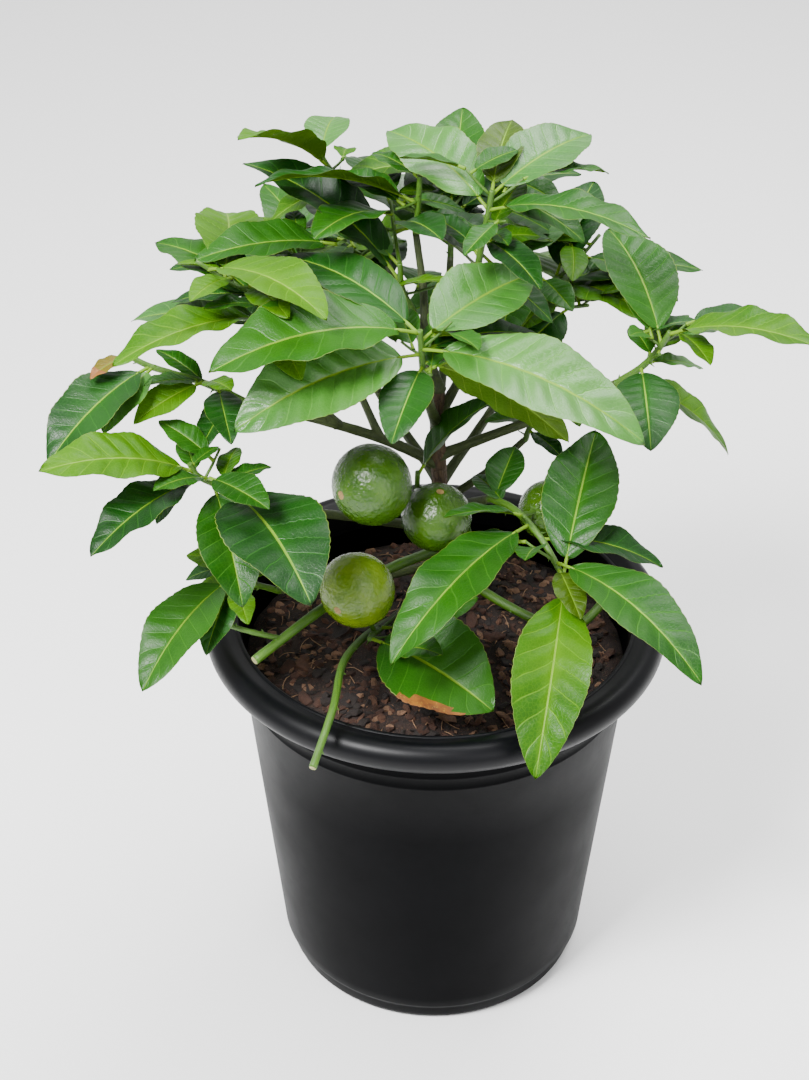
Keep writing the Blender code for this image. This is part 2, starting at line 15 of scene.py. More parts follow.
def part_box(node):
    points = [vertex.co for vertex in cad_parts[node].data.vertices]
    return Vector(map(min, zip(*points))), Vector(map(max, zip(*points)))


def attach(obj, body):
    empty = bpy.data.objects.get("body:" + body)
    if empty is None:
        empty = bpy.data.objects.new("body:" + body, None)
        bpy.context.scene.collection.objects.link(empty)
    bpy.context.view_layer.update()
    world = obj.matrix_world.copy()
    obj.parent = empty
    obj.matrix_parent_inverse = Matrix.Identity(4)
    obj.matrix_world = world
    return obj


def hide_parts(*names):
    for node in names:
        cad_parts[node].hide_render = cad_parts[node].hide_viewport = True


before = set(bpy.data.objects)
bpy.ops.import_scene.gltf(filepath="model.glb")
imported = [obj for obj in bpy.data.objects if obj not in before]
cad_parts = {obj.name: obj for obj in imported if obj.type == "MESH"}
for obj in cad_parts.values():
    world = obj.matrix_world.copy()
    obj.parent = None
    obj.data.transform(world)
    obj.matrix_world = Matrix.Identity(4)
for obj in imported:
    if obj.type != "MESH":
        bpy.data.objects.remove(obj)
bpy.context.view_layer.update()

MM = 0.001
CLEAR = 0.0003              # gap that the solids keep between one another

# Camera: looks down on the rim of the pot, as the photograph does
CAMERA_PLACE = Vector((0.0, -0.872, 0.878))
CAMERA_TILT = radians(90 - 34.7)
CAMERA_TURN = radians(1.1)
CAMERA_LENS = 89.0
SENSOR = 36.0
PHOTO_WIDTH = 809
PHOTO_HEIGHT = 1080

# Windows of the photograph, in its own pixels, where the wall shows through the crown
SKY_WINDOWS = ((396, 385, 438, 452), (463, 430, 502, 456), (503, 422, 562, 468), (318, 395, 352, 446),
               (262, 455, 330, 476), (430, 168, 478, 190))

# Growth rule, as the solids have it: lengths in metres, and angles in degrees but for the fold
PATH_STEPS = 3
STEM_TIP_RADIUS = 0.0014
SIDE_STEM_RADIUS = 0.0022
LEAF_ROOT = 0.0016
STALK_SHARE = 0.11
LEAF_FOLD = radians(14)
LEAF_WIDTH = 0.44
GOLDEN_ANGLE = 137.5
TWIG_LENGTH = 0.034
TWIG_RISE = 28
TWIG_RADIUS = 0.0012
TWIG_TIP = 0.0010
RULE_LEAF = 0.078

# Turns and lifts of a leaf, in degrees, that the rule tries until one stands clear of its neighbours
NUDGES = ((0, 0), (0, 6), (7, 0), (-7, 0), (0, -6), (7, 6), (-7, 6), (12, -4), (-12, -4), (0, 12),
          (16, 4), (-16, 4), (0, -12), (20, -6), (-20, -6))

# Finer growth that only this script adds, within an ellipsoid round the crown
CROWN_MIDDLE = Vector((0.0, 0.022, 0.350))
CROWN_REACH = Vector((0.190, 0.158, 0.130))
FINE_TWIGS = 4
FINE_TWIG_LENGTH = 0.018
FINE_TWIG_RADIUS = 0.00085
FINE_TWIG_TIP = 0.0007
FINE_LEAF = 0.044
FINE_LEAF_SHARES = (0.97, 0.8, 0.6, 0.4)
BOX_SLACK = 0.006           # how far the tip of a fine leaf may leave its mass's box
THORN_SHARE = 0.35          # share of the buds on a stem that have a spine beside them

# Tree of the photograph, in millimetres and degrees, as its solids have it. Each limb has a name, a
# parent, how it starts from it, a path, a root radius and a tip radius.
TRUNK_PATH = [(0, 41, 212.3), (0, 41, 219), (1, 40, 240), (2, 39, 270), (1, 38, 296), (0, 34, 325),
              (0, 30, 350)]
TRUNK_RADII = [8.6, 6.4, 5.3, 4.7, 4.3, 4.0, 3.6]
LIMBS = [
    ("bough_middle", "trunk", "tip", [(0, 30, 350), (-6, 36, 368), (-14, 43, 388)], 3.3, 2.5),
    ("bough_front", "trunk", "side", [(0, 33, 326), (-4, 12, 350), (-7, -8, 378)], 2.9, 2.2),
    ("bough_top_right", "trunk", "side", [(0, 33, 330), (14, 34, 362), (18, 38, 405)], 2.7, 2.0),
    ("bough_top", "bough_middle", "side", [(-7, 37, 370), (-8, 53, 394), (-12, 59, 424)], 2.2, 1.8),
    ("bough_top_left", "bough_middle", "side", [(-7, 37, 371), (-24, 66, 396), (-42, 92, 428)], 2.1, 1.6),
    ("bough_far_left", "trunk", "side",
     [(1, 38, 298), (-28, 30, 318), (-60, 16, 338), (-97, 2, 357)], 3.1, 2.1),
    ("bough_left", "bough_far_left", "side", [(-52, 20, 333), (-68, 12, 358), (-82, 9, 388)], 2.3, 1.8),
    ("bough_left_back", "bough_far_left", "side",
     [(-30, 29, 319), (-48, 44, 356), (-66, 53, 396)], 2.2, 1.7),
    ("bough_low_left", "trunk", "side",
     [(2, 40, 254), (-38, 14, 278), (-72, -18, 305), (-98, -38, 326)], 2.8, 1.9),
    ("bough_rim_left", "trunk", "side", [(1, 41, 230), (-45, 10, 238), (-82, -22, 256)], 2.5, 1.8),
    ("bough_right", "trunk", "side", [(1, 37, 304), (28, 38, 316), (62, 34, 334), (92, 26, 356)], 3.0, 2.1),
    ("bough_mid_right", "trunk", "side", [(2, 39, 272), (28, 44, 290), (47, 50, 306)], 2.4, 1.8),
    ("bough_low_right", "trunk", "side", [(2, 40, 258), (14, 22, 282), (28, 6, 297)], 2.7, 2.2),
    ("bough_low_front", "trunk", "side", [(0, 41, 226), (-14, 6, 228), (-30, -30, 237)], 2.5, 1.9),
    ("bough_back_left", "trunk", "side", [(1, 38, 288), (-28, 66, 318), (-52, 92, 350)], 2.8, 1.9),
    ("bough_back_right", "trunk", "side", [(1, 38, 284), (30, 70, 314), (52, 96, 348)], 2.8, 1.9),
    ("bough_back", "trunk", "side", [(0, 34, 322), (4, 62, 362), (6, 88, 396)], 2.5, 1.8),
    ("cut_shoot_left", "trunk", "side",
     [(1, 40, 240), (-28, 2, 252), (-58, -38, 257), (-92, -69, 246)], 2.9, 2.5),
    ("cut_shoot_thin", "cut_shoot_left", "side",
     [(-79, -57, 251), (-98, -59, 258), (-115, -60, 266)], 1.5, 1.3),
    ("cut_shoot_right", "trunk", "side",
     [(1, 41, 234), (34, 10, 228), (72, -12, 226), (98, -2, 247)], 2.8, 2.4),
    ("cut_shoot_front", "bough_low_front", "side",
     [(-17, -4, 229), (-36, -28, 232), (-47, -62, 240), (-50, -104, 245), (-59, -134, 231)], 2.1, 1.9),
]

# Each shoot lists its leaves by share of the stem, heading, rise and length, with a roll and a width
# where these aren't the rule's, and its limes by share, centre and radius.
SHOOTS = [
    dict(name="foliage_crown_front", limb="bough_front", stem=[(-8, -13, 392), (-9, -14, 408)], seed=1,
         leaves=[(0.55, -156, -11, 100, 0, 0.42), (1.0, -158, 0, 107), (0.65, -27, -8, 121, 0, 0.38),
                 (0.8, 50, 8, 76, 0, 0.52), (0.9, 144, 12, 87), (0.4, -5, -29, 85, -70), (0.6, 27, -7, 70),
                 (0.3, -106, -16, 54, 0, 0.5)]),
    dict(name="foliage_crown_middle", limb="bough_middle", stem=[(-19, 45, 400), (-20, 46, 414)], seed=2,
         twigs=1,
         leaves=[(0.95, 142, 14, 66, 0, 0.46), (0.6, 163, 22, 100)]),
    dict(name="foliage_crown_top", limb="bough_top", stem=[(-11, 60, 440), (-10, 60, 456)], seed=3, twigs=1,
         leaves=[(0.5, -160, 16, 88, 20), (0.95, 131, 2, 38), (0.1, 22, -28, 44)]),
    dict(name="foliage_top_left", limb="bough_top_left", stem=[(-56, 90, 444), (-62, 86, 456)], seed=4,
         twigs=1,
         leaves=[(0.7, -130, 30, 74, 15), (1.0, 84, 2, 48, 0, 0.52)]),
    dict(name="foliage_top_right", limb="bough_top_right",
         stem=[(21, 40, 425), (24, 41, 443), (26, 43, 456)], seed=5,
         leaves=[(0.8, 133, 14, 78, 0, 0.46), (0.95, 42, 11, 70, 0, 0.46), (0.8, -32, 6, 90, 0, 0.34),
                 (1.0, 78, 12, 56), (0.5, -56, -8, 50), (0.45, 37, -15, 50), (0.3, 127, 17, 36),
                 (0.2, -28, -13, 48), (0.35, 142, 4, 40)]),
    dict(name="foliage_left", limb="bough_left", stem=[(-85, 10, 400), (-88, 11, 414)], seed=6, twigs=1,
         leaves=[(0.5, -144, 1, 87, 0, 0.36), (0.75, 142, 9, 76), (1.0, 165, -12, 50), (0.3, 168, -4, 74)]),
    dict(name="foliage_left_back", limb="bough_left_back", stem=[(-70, 55, 408), (-72, 56, 422)], seed=7,
         twigs=2,
         leaves=[(0.9, 142, 5, 36), (0.5, 153, 6, 44), (0.6, -142, 17, 30), (1.0, 103, 18, 26)]),
    dict(name="foliage_far_left", limb="bough_far_left",
         stem=[(-118, -3, 371), (-143, -5, 381), (-155, -5, 388)], seed=8,
         leaves=[(0.8, -128, -17, 75, 0, 0.5), (0.78, -110, -17, 47, 0, 0.5), (1.0, -127, -1, 27),
                 (0.35, 149, 20, 33), (0.4, -141, 17, 34), (0.1, -112, -13, 40), (0.25, -77, -5, 46)]),
    dict(name="foliage_low_left", limb="bough_low_left",
         stem=[(-108, -44, 336), (-117, -48, 344), (-121, -49, 352)], seed=9,
         leaves=[(0.2, -60, -7, 90, 0, 0.54), (0.5, -72, -19, 67, 0, 0.5), (0.7, -134, -10, 71),
                 (0.85, -151, 18, 81, 0, 0.42), (0.8, 109, 8, 30), (0.4, 30, 6, 29), (0.95, 52, 6, 20),
                 (0.95, -132, -42, 33)]),
    dict(name="foliage_rim_left", limb="bough_rim_left", stem=[(-95, -30, 266), (-106, -36, 275)], seed=10,
         leaves=[(0.95, -122, -17, 80), (0.9, -105, -19, 48), (0.2, 168, -10, 44), (0.6, 60, -4, 44)]),
    dict(name="foliage_right", limb="bough_right", stem=[(104, 22, 368), (112, 20, 380), (117, 20, 390)],
         seed=11,
         leaves=[(0.8, 111, 27, 77, 0, 0.5), (1.0, -35, 13, 85, 0, 0.4), (0.4, -88, -16, 56, 0, 0.62),
                 (0.9, 35, -10, 38), (0.6, 108, 4, 30), (0.5, 26, -19, 37), (0.1, 2, -37, 75)]),
    dict(name="foliage_mid_right", limb="bough_mid_right", stem=[(53, 54, 320), (61, 56, 342)], seed=12,
         twigs=1,
         leaves=[(0.95, -78, -9, 43, 0, 0.5), (0.3, -149, 15, 32), (0.15, -54, -4, 30)]),
    dict(name="foliage_right_front", limb="bough_low_right",
         stem=[(40, -8, 300), (53, -27, 296), (63, -43, 286), (67, -48, 279)], seed=13,
         leaves=[(0.92, 76, 27, 89, 0, 0.46), (0.8, -50, -7, 106, 0, 0.36), (0.95, -100, -30, 107, 0, 0.38),
                 (0.45, -130, -13, 112, 0, 0.34), (0.6, -2, -13, 65), (0.85, -75, -8, 38),
                 (0.05, 70, 23, 36, 0, 0.6), (0.15, 119, 0, 31, 0, 0.55)],
         limes=[(0.3, (60, 15, 284), 16.5)]),
    dict(name="foliage_fruit_pair", limb="trunk", root=(2, 40, 246),
         stem=[(-3, 22, 262), (-10, 10, 284), (-10, 5, 314)], seed=14,
         leaves=[(0.97, 21, 46, 58, -15, 0.55), (0.75, 150, 8, 38)],
         limes=[(0.75, (-33, -20, 322), 21.0), (0.3, (0, -6, 293), 18.5)]),
    dict(name="foliage_low_front", limb="bough_low_front", stem=[(-33, -40, 241), (-34, -46, 243)], seed=15,
         leaves=[(1.0, -34, -9, 78, 0, 0.56)],
         limes=[(0.3, (-40, -48, 276), 19.5)]),
    dict(name="foliage_back_left", limb="bough_back_left", stem=[(-60, 101, 360), (-66, 107, 374)], seed=16,
         twigs=4,
         leaves=[(1.0, 120, 24, 74), (0.8, 178, 6, 84)]),
    dict(name="foliage_back_right", limb="bough_back_right", stem=[(59, 104, 360), (64, 110, 374)], seed=17,
         twigs=4,
         leaves=[(1.0, 70, 24, 74), (0.8, 8, 4, 84)]),
    dict(name="foliage_back_top", limb="bough_back", stem=[(6, 94, 406), (5, 98, 420)], seed=18, twigs=4,
         leaves=[(1.0, 84, 26, 72), (0.85, 20, 10, 76)]),
]

# Tone of each listed leaf, in the order of its shoot's list: d deep, m middle, p pale with a painted sheen,
# y yellow-green, o olive, r reddish with a scorched tip
TONES = {
    "foliage_crown_front": "pmppdodd", "foliage_crown_middle": "pd", "foliage_crown_top": "dmm",
    "foliage_top_left": "yp", "foliage_top_right": "ppmoddmdd", "foliage_left": "ymdp",
    "foliage_left_back": "yyym", "foliage_far_left": "dprmmdd", "foliage_low_left": "dmdymmmd",
    "foliage_rim_left": "mdyy", "foliage_right": "mydpmpy", "foliage_mid_right": "mpd",
    "foliage_right_front": "mmymdomm", "foliage_fruit_pair": "md", "foliage_low_front": "m",
    "foliage_back_left": "md", "foliage_back_right": "dm", "foliage_back_top": "md",
}

# Leaves whose panels bulge strongly between the side veins, by shoot and place in its list
BULGED = {("foliage_crown_front", 0): 2.6, ("foliage_crown_front", 2): 1.7, ("foliage_low_left", 3): 1.6,
          ("foliage_right_front", 2): 1.5, ("foliage_right", 0): 1.4}

# Leaves that lie more openly towards the viewer than their plain solids: extra roll in degrees, and
# width against the solid's
OPENED = {("foliage_crown_front", 0): (-26, 1.16), ("foliage_crown_front", 1): (-10, 1.08),
          ("foliage_crown_front", 2): (12, 1.06), ("foliage_crown_front", 3): (14, 1.10),
          ("foliage_low_left", 3): (-12, 1.05), ("foliage_low_left", 0): (0, 1.14),
          ("foliage_low_front", 0): (20, 1.3), ("foliage_top_right", 0): (-12, 1.12),
          ("foliage_top_right", 1): (12, 1.12)}

# Leaf pieces and the masses that each stands for
LEAF_PIECES = {
    "leaves_crown": ["foliage_crown_front", "foliage_crown_middle", "foliage_crown_top"],
    "leaves_top": ["foliage_top_left", "foliage_top_right", "foliage_back_top"],
    "leaves_left": ["foliage_left", "foliage_left_back", "foliage_far_left"],
    "leaves_low_left": ["foliage_low_left", "foliage_rim_left", "foliage_back_left"],
    "leaves_right": ["foliage_right", "foliage_mid_right", "foliage_back_right"],
    "leaves_low_right": ["foliage_right_front", "foliage_fruit_pair", "foliage_low_front"],
}

# Blade mesh: columns from the midrib to the margin, rows from stalk to tip, and what repeats along it
HALF_COLUMNS = (0.0, 0.028, 0.13, 0.27, 0.42, 0.57, 0.72, 0.87, 0.984, 1.0)
BLADE_ROWS = 46
SIDE_VEINS = 8
VEIN_SLANT = 1.5
TEETH = 17

# Relief of a blade, in metres; the panels' bulge and the wave are those of a leaf 80 mm long
RELIEF_LENGTH = 0.08
PANEL_BULGE = 0.00135
RIB_DIP = 0.00035
RIB_RISE = 0.00075
HALF_THICKNESS = 0.00022
STALK_RADII = (0.00115, 0.0010, 0.0009, 0.00095, 0.0006)

# Scorched margin of one leaf: where it starts and how far it runs, as shares of the blade
SCORCH_START = 0.42
SCORCH_RUN = 0.44

# Limes: direction of each one's flower scar, which the photograph shows on two of them, and mesh
LIME_EYES = {("foliage_fruit_pair", 0): (-0.73, -0.66, 0.11), ("foliage_fruit_pair", 1): (0.10, -0.15, 0.95),
             ("foliage_low_front", 0): (-0.49, -0.87, -0.05), ("foliage_right_front", 0): (0.5, 0.3, -0.8)}
LIME_COLUMNS = 150
LIME_ROWS = 90
LIME_STALK_RADII = (0.0019, 0.0016, 0.0014, 0.0013, 0.0013, 0.0013, 0.0013, 0.0013, 0.0014)

# Pot and potting mix
POT_HEIGHT = 0.232
RIM_RADIUS = 0.125
RIM_ROLL = 0.016
BODY_TOP_RADIUS = 0.1075
BODY_FOOT_RADIUS = 0.0885
FOOT_RADIUS = 0.0865
FOOT_HEIGHT = 0.012
POT_WALL = 0.0026
POT_FLOOR = 0.004
SOIL_EDGE = 0.203
SOIL_TOP = 0.212
SOIL_FLAT_RADIUS = 0.066
SOIL_SIDES = 96
SOIL_RINGS = 60
SOIL_SKIRT = 0.03
SOIL_SEED = 7
CHIPS = 1700
LONG_CHIP_SHARE = 0.15
FIBRES = 170
FIBRE_RADIUS = 0.00022
FIBRE_STEP = 0.0024

# Mould lines round the pot, as heights, and the bead that each stands up as
MOULD_LINES = (0.200, 0.192)
BEAD_PROUD = 0.00035

# Lamps: place, size in metres and power in watts
LAMPS = {"key": ((-0.8, -0.9, 1.8), 0.6, 105.0), "top": ((0.4, 0.6, 1.9), 1.0, 50.0),
         "front": ((0.9, -1.5, 1.1), 1.2, 12.0)}
LAMPS_AIM = Vector((0, 0, 0.3))


def mm(point):
    return Vector(point) * MM


# Node trees

class Tree:
    """Short calls for building one node tree."""

    def __init__(self, tree):
        self.tree = tree

    def node(self, kind, settings=(), **inputs):
        made = self.tree.nodes.new(kind)
        for key, value in dict(settings).items():
            setattr(made, key, value)
        for key, value in inputs.items():
            self.feed(made.inputs[key.replace("_", " ")], value)
        return made

    def feed(self, socket, value):
        if isinstance(value, bpy.types.NodeSocket):
            self.tree.links.new(value, socket)
        else:
            socket.default_value = value

    def math(self, operation, a, b=0.0):
        made = self.node("ShaderNodeMath", {"operation": operation})
        self.feed(made.inputs[0], a)
        self.feed(made.inputs[1], b)
        return made.outputs[0]

    def mix(self, factor, a, b):
        made = self.node("ShaderNodeMix", {"data_type": "RGBA"})
        self.feed(made.inputs[0], factor)
        self.feed(made.inputs[6], a)
        self.feed(made.inputs[7], b)
        return made.outputs[2]

    def ramp(self, value, low, high, out_low=0.0, out_high=1.0):
        made = self.node("ShaderNodeMapRange", {"clamp": True}, Value=value)
        for key, number in (("From Min", low), ("From Max", high), ("To Min", out_low), ("To Max", out_high)):
            made.inputs[key].default_value = number
        return made.outputs[0]

    def noise(self, place, scale, detail=3.0, roughness=0.5):
        made = self.node("ShaderNodeTexNoise", Vector=place, Scale=scale, Detail=detail, Roughness=roughness)
        return made.outputs["Fac"]

    def cell_edges(self, place, scale):
        made = self.node("ShaderNodeTexVoronoi", {"feature": "DISTANCE_TO_EDGE"}, Vector=place, Scale=scale)
        return made.outputs["Distance"]

    def place(self):
        return self.node("ShaderNodeTexCoord").outputs["Object"]

    def own_uv(self):
        return self.node("ShaderNodeUVMap", {"uv_map": "surface"}).outputs["UV"]

    def stretched(self, place, scale):
        made = self.node("ShaderNodeMapping", Vector=place)
        made.inputs["Scale"].default_value = scale
        return made.outputs[0]


def group(name, inputs, outputs, build):
    """A shader node group with named sockets."""
    tree = bpy.data.node_groups.new(name, "ShaderNodeTree")
    for kind, sockets in (("INPUT", inputs), ("OUTPUT", outputs)):
        for label, socket in sockets.items():
            tree.interface.new_socket(name=label, in_out=kind, socket_type=socket)
    t = Tree(tree)
    start = tree.nodes.new("NodeGroupInput").outputs
    end = tree.nodes.new("NodeGroupOutput").inputs
    for label, value in build(t, start).items():
        t.feed(end[label], value)
    return tree


COLOUR = "NodeSocketColor"
VALUE = "NodeSocketFloat"


def leaf_pattern(t, given):
    """Side veins that run out from the midrib, a fine net between them, and soft mottling."""
    place = t.place()
    split = t.node("ShaderNodeSeparateXYZ", Vector=t.own_uv()).outputs
    across = t.math("ABSOLUTE", t.math("SUBTRACT", t.math("MULTIPLY", split[0], 2.0), 1.0))
    phase = t.math("SUBTRACT", t.math("MULTIPLY", split[1], float(SIDE_VEINS)),
                   t.math("MULTIPLY", across, VEIN_SLANT))
    wander = t.math("MULTIPLY", t.math("SUBTRACT", t.noise(place, 45.0, 2.0), 0.5), 0.55)
    phase = t.math("ADD", phase, wander)
    edge = t.math("ABSOLUTE", t.math("SUBTRACT", t.math("FRACT", phase), 0.5))
    vein = t.math("MULTIPLY", t.ramp(edge, 0.450, 0.495), t.ramp(across, 0.97, 0.7))
    net = t.ramp(t.cell_edges(place, 520.0), 0.0, 0.12, 1.0, 0.0)
    mottle = t.ramp(t.noise(place, 55.0, 4.0, 0.6), 0.32, 0.68)
    patch = t.ramp(t.noise(place, 14.0, 2.0), 0.38, 0.62)
    shade = t.mix(t.math("MULTIPLY", mottle, 0.55), given["Blade"], given["Deep"])
    for share in (t.math("MULTIPLY", patch, 0.35), t.ramp(across, 0.1, 0.34, 0.35, 0.0),
                  t.math("MULTIPLY", vein, given["Veining"]), t.math("MULTIPLY", net, 0.16)):
        shade = t.mix(share, shade, given["Vein"])
    height = t.math("SUBTRACT", t.math("MULTIPLY", mottle, 0.25), t.math("MULTIPLY", vein, 0.8))
    height = t.math("SUBTRACT", height, t.math("MULTIPLY", net, 0.22))
    return {"Color": shade, "Height": height, "Roughness": t.ramp(mottle, 0.0, 1.0, 0.34, 0.46)}


def speckle_pattern(t, given):
    """Mottling with small specks, for bark, mix and peel."""
    place = t.place()
    broad = t.ramp(t.noise(place, given["Scale"], 5.0, 0.65), 0.3, 0.7)
    fine = t.noise(place, t.math("MULTIPLY", given["Scale"], 7.0), 3.0, 0.6)
    speck = t.ramp(fine, 0.60, 0.68)
    shade = t.mix(broad, given["Light"], given["Dark"])
    shade = t.mix(t.math("MULTIPLY", speck, given["Specks"]), shade, given["Speck"])
    return {"Color": shade, "Height": t.math("ADD", t.math("MULTIPLY", broad, 0.6), fine)}


def furrow_pattern(t, given):
    """Lengthwise furrows that follow a limb, from its own UV map."""
    along = t.stretched(t.own_uv(), (14.0, 12.0, 1.0))
    furrow = t.noise(along, 1.0, 5.0, 0.7)
    cells = t.cell_edges(t.stretched(t.own_uv(), (10.0, 24.0, 1.0)), 1.0)
    cracks = t.ramp(cells, 0.0, 0.10, 1.0, 0.0)
    shade = t.mix(t.ramp(furrow, 0.35, 0.65), given["Light"], given["Dark"])
    shade = t.mix(t.math("MULTIPLY", cracks, 0.5), shade, given["Dark"])
    return {"Color": shade, "Height": t.math("SUBTRACT", furrow, t.math("MULTIPLY", cracks, 0.5))}


LEAF_GROUP = group("leaf_surface", {"Blade": COLOUR, "Deep": COLOUR, "Vein": COLOUR, "Veining": VALUE},
                   {"Color": COLOUR, "Height": VALUE, "Roughness": VALUE}, leaf_pattern)
SPECKLE_GROUP = group("speckled_surface",
                      {"Light": COLOUR, "Dark": COLOUR, "Speck": COLOUR, "Specks": VALUE, "Scale": VALUE},
                      {"Color": COLOUR, "Height": VALUE}, speckle_pattern)
FURROW_GROUP = group("furrowed_bark", {"Light": COLOUR, "Dark": COLOUR}, {"Color": COLOUR, "Height": VALUE},
                     furrow_pattern)


def rgba(colour):
    return (*colour, 1.0)


def finish_with(name, pattern, values, roughness, bump=0.0, bump_distance=0.0005, **shader_values):
    """A Principled material whose colour and relief come from a node group."""
    made = bpy.data.materials.new(name)
    made.use_nodes = True
    t = Tree(made.node_tree)
    shader = made.node_tree.nodes["Principled BSDF"]
    shader.inputs["Roughness"].default_value = roughness
    for key, value in shader_values.items():
        shader.inputs[key.replace("_", " ")].default_value = value
    effect = t.node("ShaderNodeGroup", {"node_tree": pattern})
    for key, value in values.items():
        effect.inputs[key].default_value = rgba(value) if isinstance(value, tuple) else value
    t.feed(shader.inputs["Base Color"], effect.outputs["Color"])
    if "Roughness" in effect.outputs:
        t.feed(shader.inputs["Roughness"], effect.outputs["Roughness"])
    if bump:
        relief = t.node("ShaderNodeBump", Strength=bump, Distance=bump_distance,
                        Height=effect.outputs["Height"])
        t.feed(shader.inputs["Normal"], relief.outputs["Normal"])
    return made


def speckled(name, light, dark, speck, specks, scale, roughness, *bump, **shader_values):
    """Two mottled colours under specks of a third, with the specks' share and the mottling's scale."""
    values = {"Light": light, "Dark": dark, "Speck": speck, "Specks": specks, "Scale": scale}
    return finish_with(name, SPECKLE_GROUP, values, roughness, *bump, **shader_values)


def furrowed(name, light, dark, roughness, *bump):
    """Bark with lengthwise furrows."""
    return finish_with(name, FURROW_GROUP, {"Light": light, "Dark": dark}, roughness, *bump)


def leaf_finish(name, blade, deep, vein, roughness, bump, shine):
    """A side of a leaf: its blade, the share of that colour in its deep patches, and its veins."""
    values = {"Blade": blade, "Deep": darker(blade, deep), "Vein": vein, "Veining": 0.6}
    return finish_with(name, LEAF_GROUP, values, roughness, bump, 0.0006, Specular_IOR_Level=shine)


def darker(colour, share):
    return tuple(c * share for c in colour)


# Blade, veins and shine of each tone's upper side
UPPER_TONES = {"d": ((0.0024, 0.032, 0.0014), (0.020, 0.105, 0.009), 0.22),
               "m": ((0.0060, 0.056, 0.0006), (0.036, 0.150, 0.007), 0.22),
               # p: a paler blade and veins that partly paint the sky's sheen on top-facing leaves, besides
               # its real higher shine
               "p": ((0.022, 0.120, 0.008), (0.085, 0.250, 0.030), 0.55),
               "y": ((0.019, 0.090, 0.0002), (0.095, 0.230, 0.003), 0.12),
               "o": ((0.022, 0.055, 0.0003), (0.080, 0.150, 0.004), 0.22),
               "r": ((0.090, 0.080, 0.001), (0.200, 0.130, 0.006), 0.22)}
# The brighter underside paints the glow of light shining through the leaf from behind
UNDER_TONES = {"under": (0.034, 0.088, 0.003), "under_painted_backlight": (0.060, 0.150, 0.001)}
UNDER_VEIN = (0.110, 0.190, 0.014)


def leaf_finishes():
    """Six upper finishes, two under finishes (one with a painted backlit glow), the midrib, the margin and
    scorched edges.
    """
    made = {}
    for tone, (blade, vein, shine) in UPPER_TONES.items():
        made[tone] = leaf_finish("leaf_upper_" + tone, blade, 0.45, vein, 0.4, 0.35, shine)
    for name, blade in UNDER_TONES.items():
        made[name] = leaf_finish("leaf_" + name, blade, 0.75, UNDER_VEIN, 0.55, 0.5, 0.12)
    made["rib"] = speckled("leaf_midrib", (0.15, 0.27, 0.012), (0.09, 0.19, 0.010), (0.2, 0.3, 0.03), 0.3,
                           90.0, 0.45, Specular_IOR_Level=0.2)
    made["margin"] = speckled("leaf_margin", (0.14, 0.21, 0.012), (0.06, 0.13, 0.007), (0.30, 0.28, 0.05),
                              0.4, 120.0, 0.5)
    made["scorch"] = speckled("leaf_scorch", (0.24, 0.085, 0.003), (0.07, 0.018, 0.003), (0.36, 0.24, 0.02),
                              0.5, 130.0, 0.6)
    return made


LEAF_FINISHES = leaf_finishes()
LEAF_SLOTS = {name: k for k, name in enumerate(LEAF_FINISHES)}


# Meshes

def sheet(bm, columns, rows, shape, closed=False):
    """A grid laid on a shape, which gives a point for each column and row, with its own UV map."""
    made = bmesh.ops.create_grid(bm, x_segments=columns, y_segments=rows, size=0.5)["verts"]
    uv = bm.loops.layers.uv.get("surface") or bm.loops.layers.uv.new("surface")
    spot = {}
    for point in made:
        spot[point] = (round((point.co.x + 0.5) * columns), round((point.co.y + 0.5) * rows))
    faces = list({face for point in made for face in point.link_faces})
    for face in faces:
        for loop in face.loops:
            column, row = spot[loop.vert]
            loop[uv].uv = (column / columns, row / rows)
    for point, (column, row) in spot.items():
        point.co = shape(column, row)
    if closed:
        seam = [point for point, (column, row) in spot.items() if column in (0, columns)]
        bmesh.ops.remove_doubles(bm, verts=seam, dist=1e-6)
    return spot, faces


def smooth_path(points, steps):
    """A Catmull-Rom curve through the points."""
    ends = [points[0] * 2 - points[1]] + list(points) + [points[-1] * 2 - points[-2]]
    path = []
    for a, b, c, d in zip(ends, ends[1:], ends[2:], ends[3:]):
        for k in range(steps):
            t = k / steps
            path.append(0.5 * (2 * b + (c - a) * t + (2 * a - 5 * b + 4 * c - d) * t ** 2
                               + (3 * b - a - 3 * c + d) * t ** 3))
    return path + [points[-1].copy()]


def along(path, share, short=0.0):
    """Point and direction at a share of a path's length, at least a little short of its end."""
    lengths = [(b - a).length for a, b in zip(path, path[1:])]
    goal = max(0.0, min(share * sum(lengths), sum(lengths) - short))
    for a, b, length in zip(path, path[1:], lengths):
        if goal <= length + 1e-9:
            return a.lerp(b, goal / length), (b - a).normalized()
        goal -= length
    return path[-1].copy(), (path[-1] - path[-2]).normalized()


def taper(path, root, tip):
    last = len(path) - 1
    return [root + (tip - root) * k / last for k in range(last + 1)]


def surface_distance(point, path, radii):
    """Distance from a point to the surface of a limb."""
    nearest = 1.0
    for a, b, ra, rb in zip(path, path[1:], radii, radii[1:]):
        span = b - a
        share = max(0.0, min(1.0, (point - a).dot(span) / span.length_squared))
        nearest = min(nearest, (point - a - span * share).length - (ra + (rb - ra) * share))
    return nearest


def leave_side(path, radius, parent):
    """Cut the start of a path so that a limb of that radius stands clear of its parent's side."""
    reach = sum((b - a).length for a, b in zip(path, path[1:]))
    share = 0.0
    while share < 0.5:
        middle, heading = along(path, share)
        across = heading.orthogonal().normalized()
        ring = [middle + Matrix.Rotation(k * pi / 4, 3, heading) @ across * radius for k in range(8)]
        if min(surface_distance(point, *parent) for point in [middle, *ring]) >= CLEAR:
            break
        share += 0.0002 / reach
    start = along(path, share)[0]
    travelled, rest = share * reach, []
    for a, b in zip(path, path[1:]):
        travelled -= (b - a).length
        if travelled < -0.001:
            rest.append(b)
    return [start] + rest


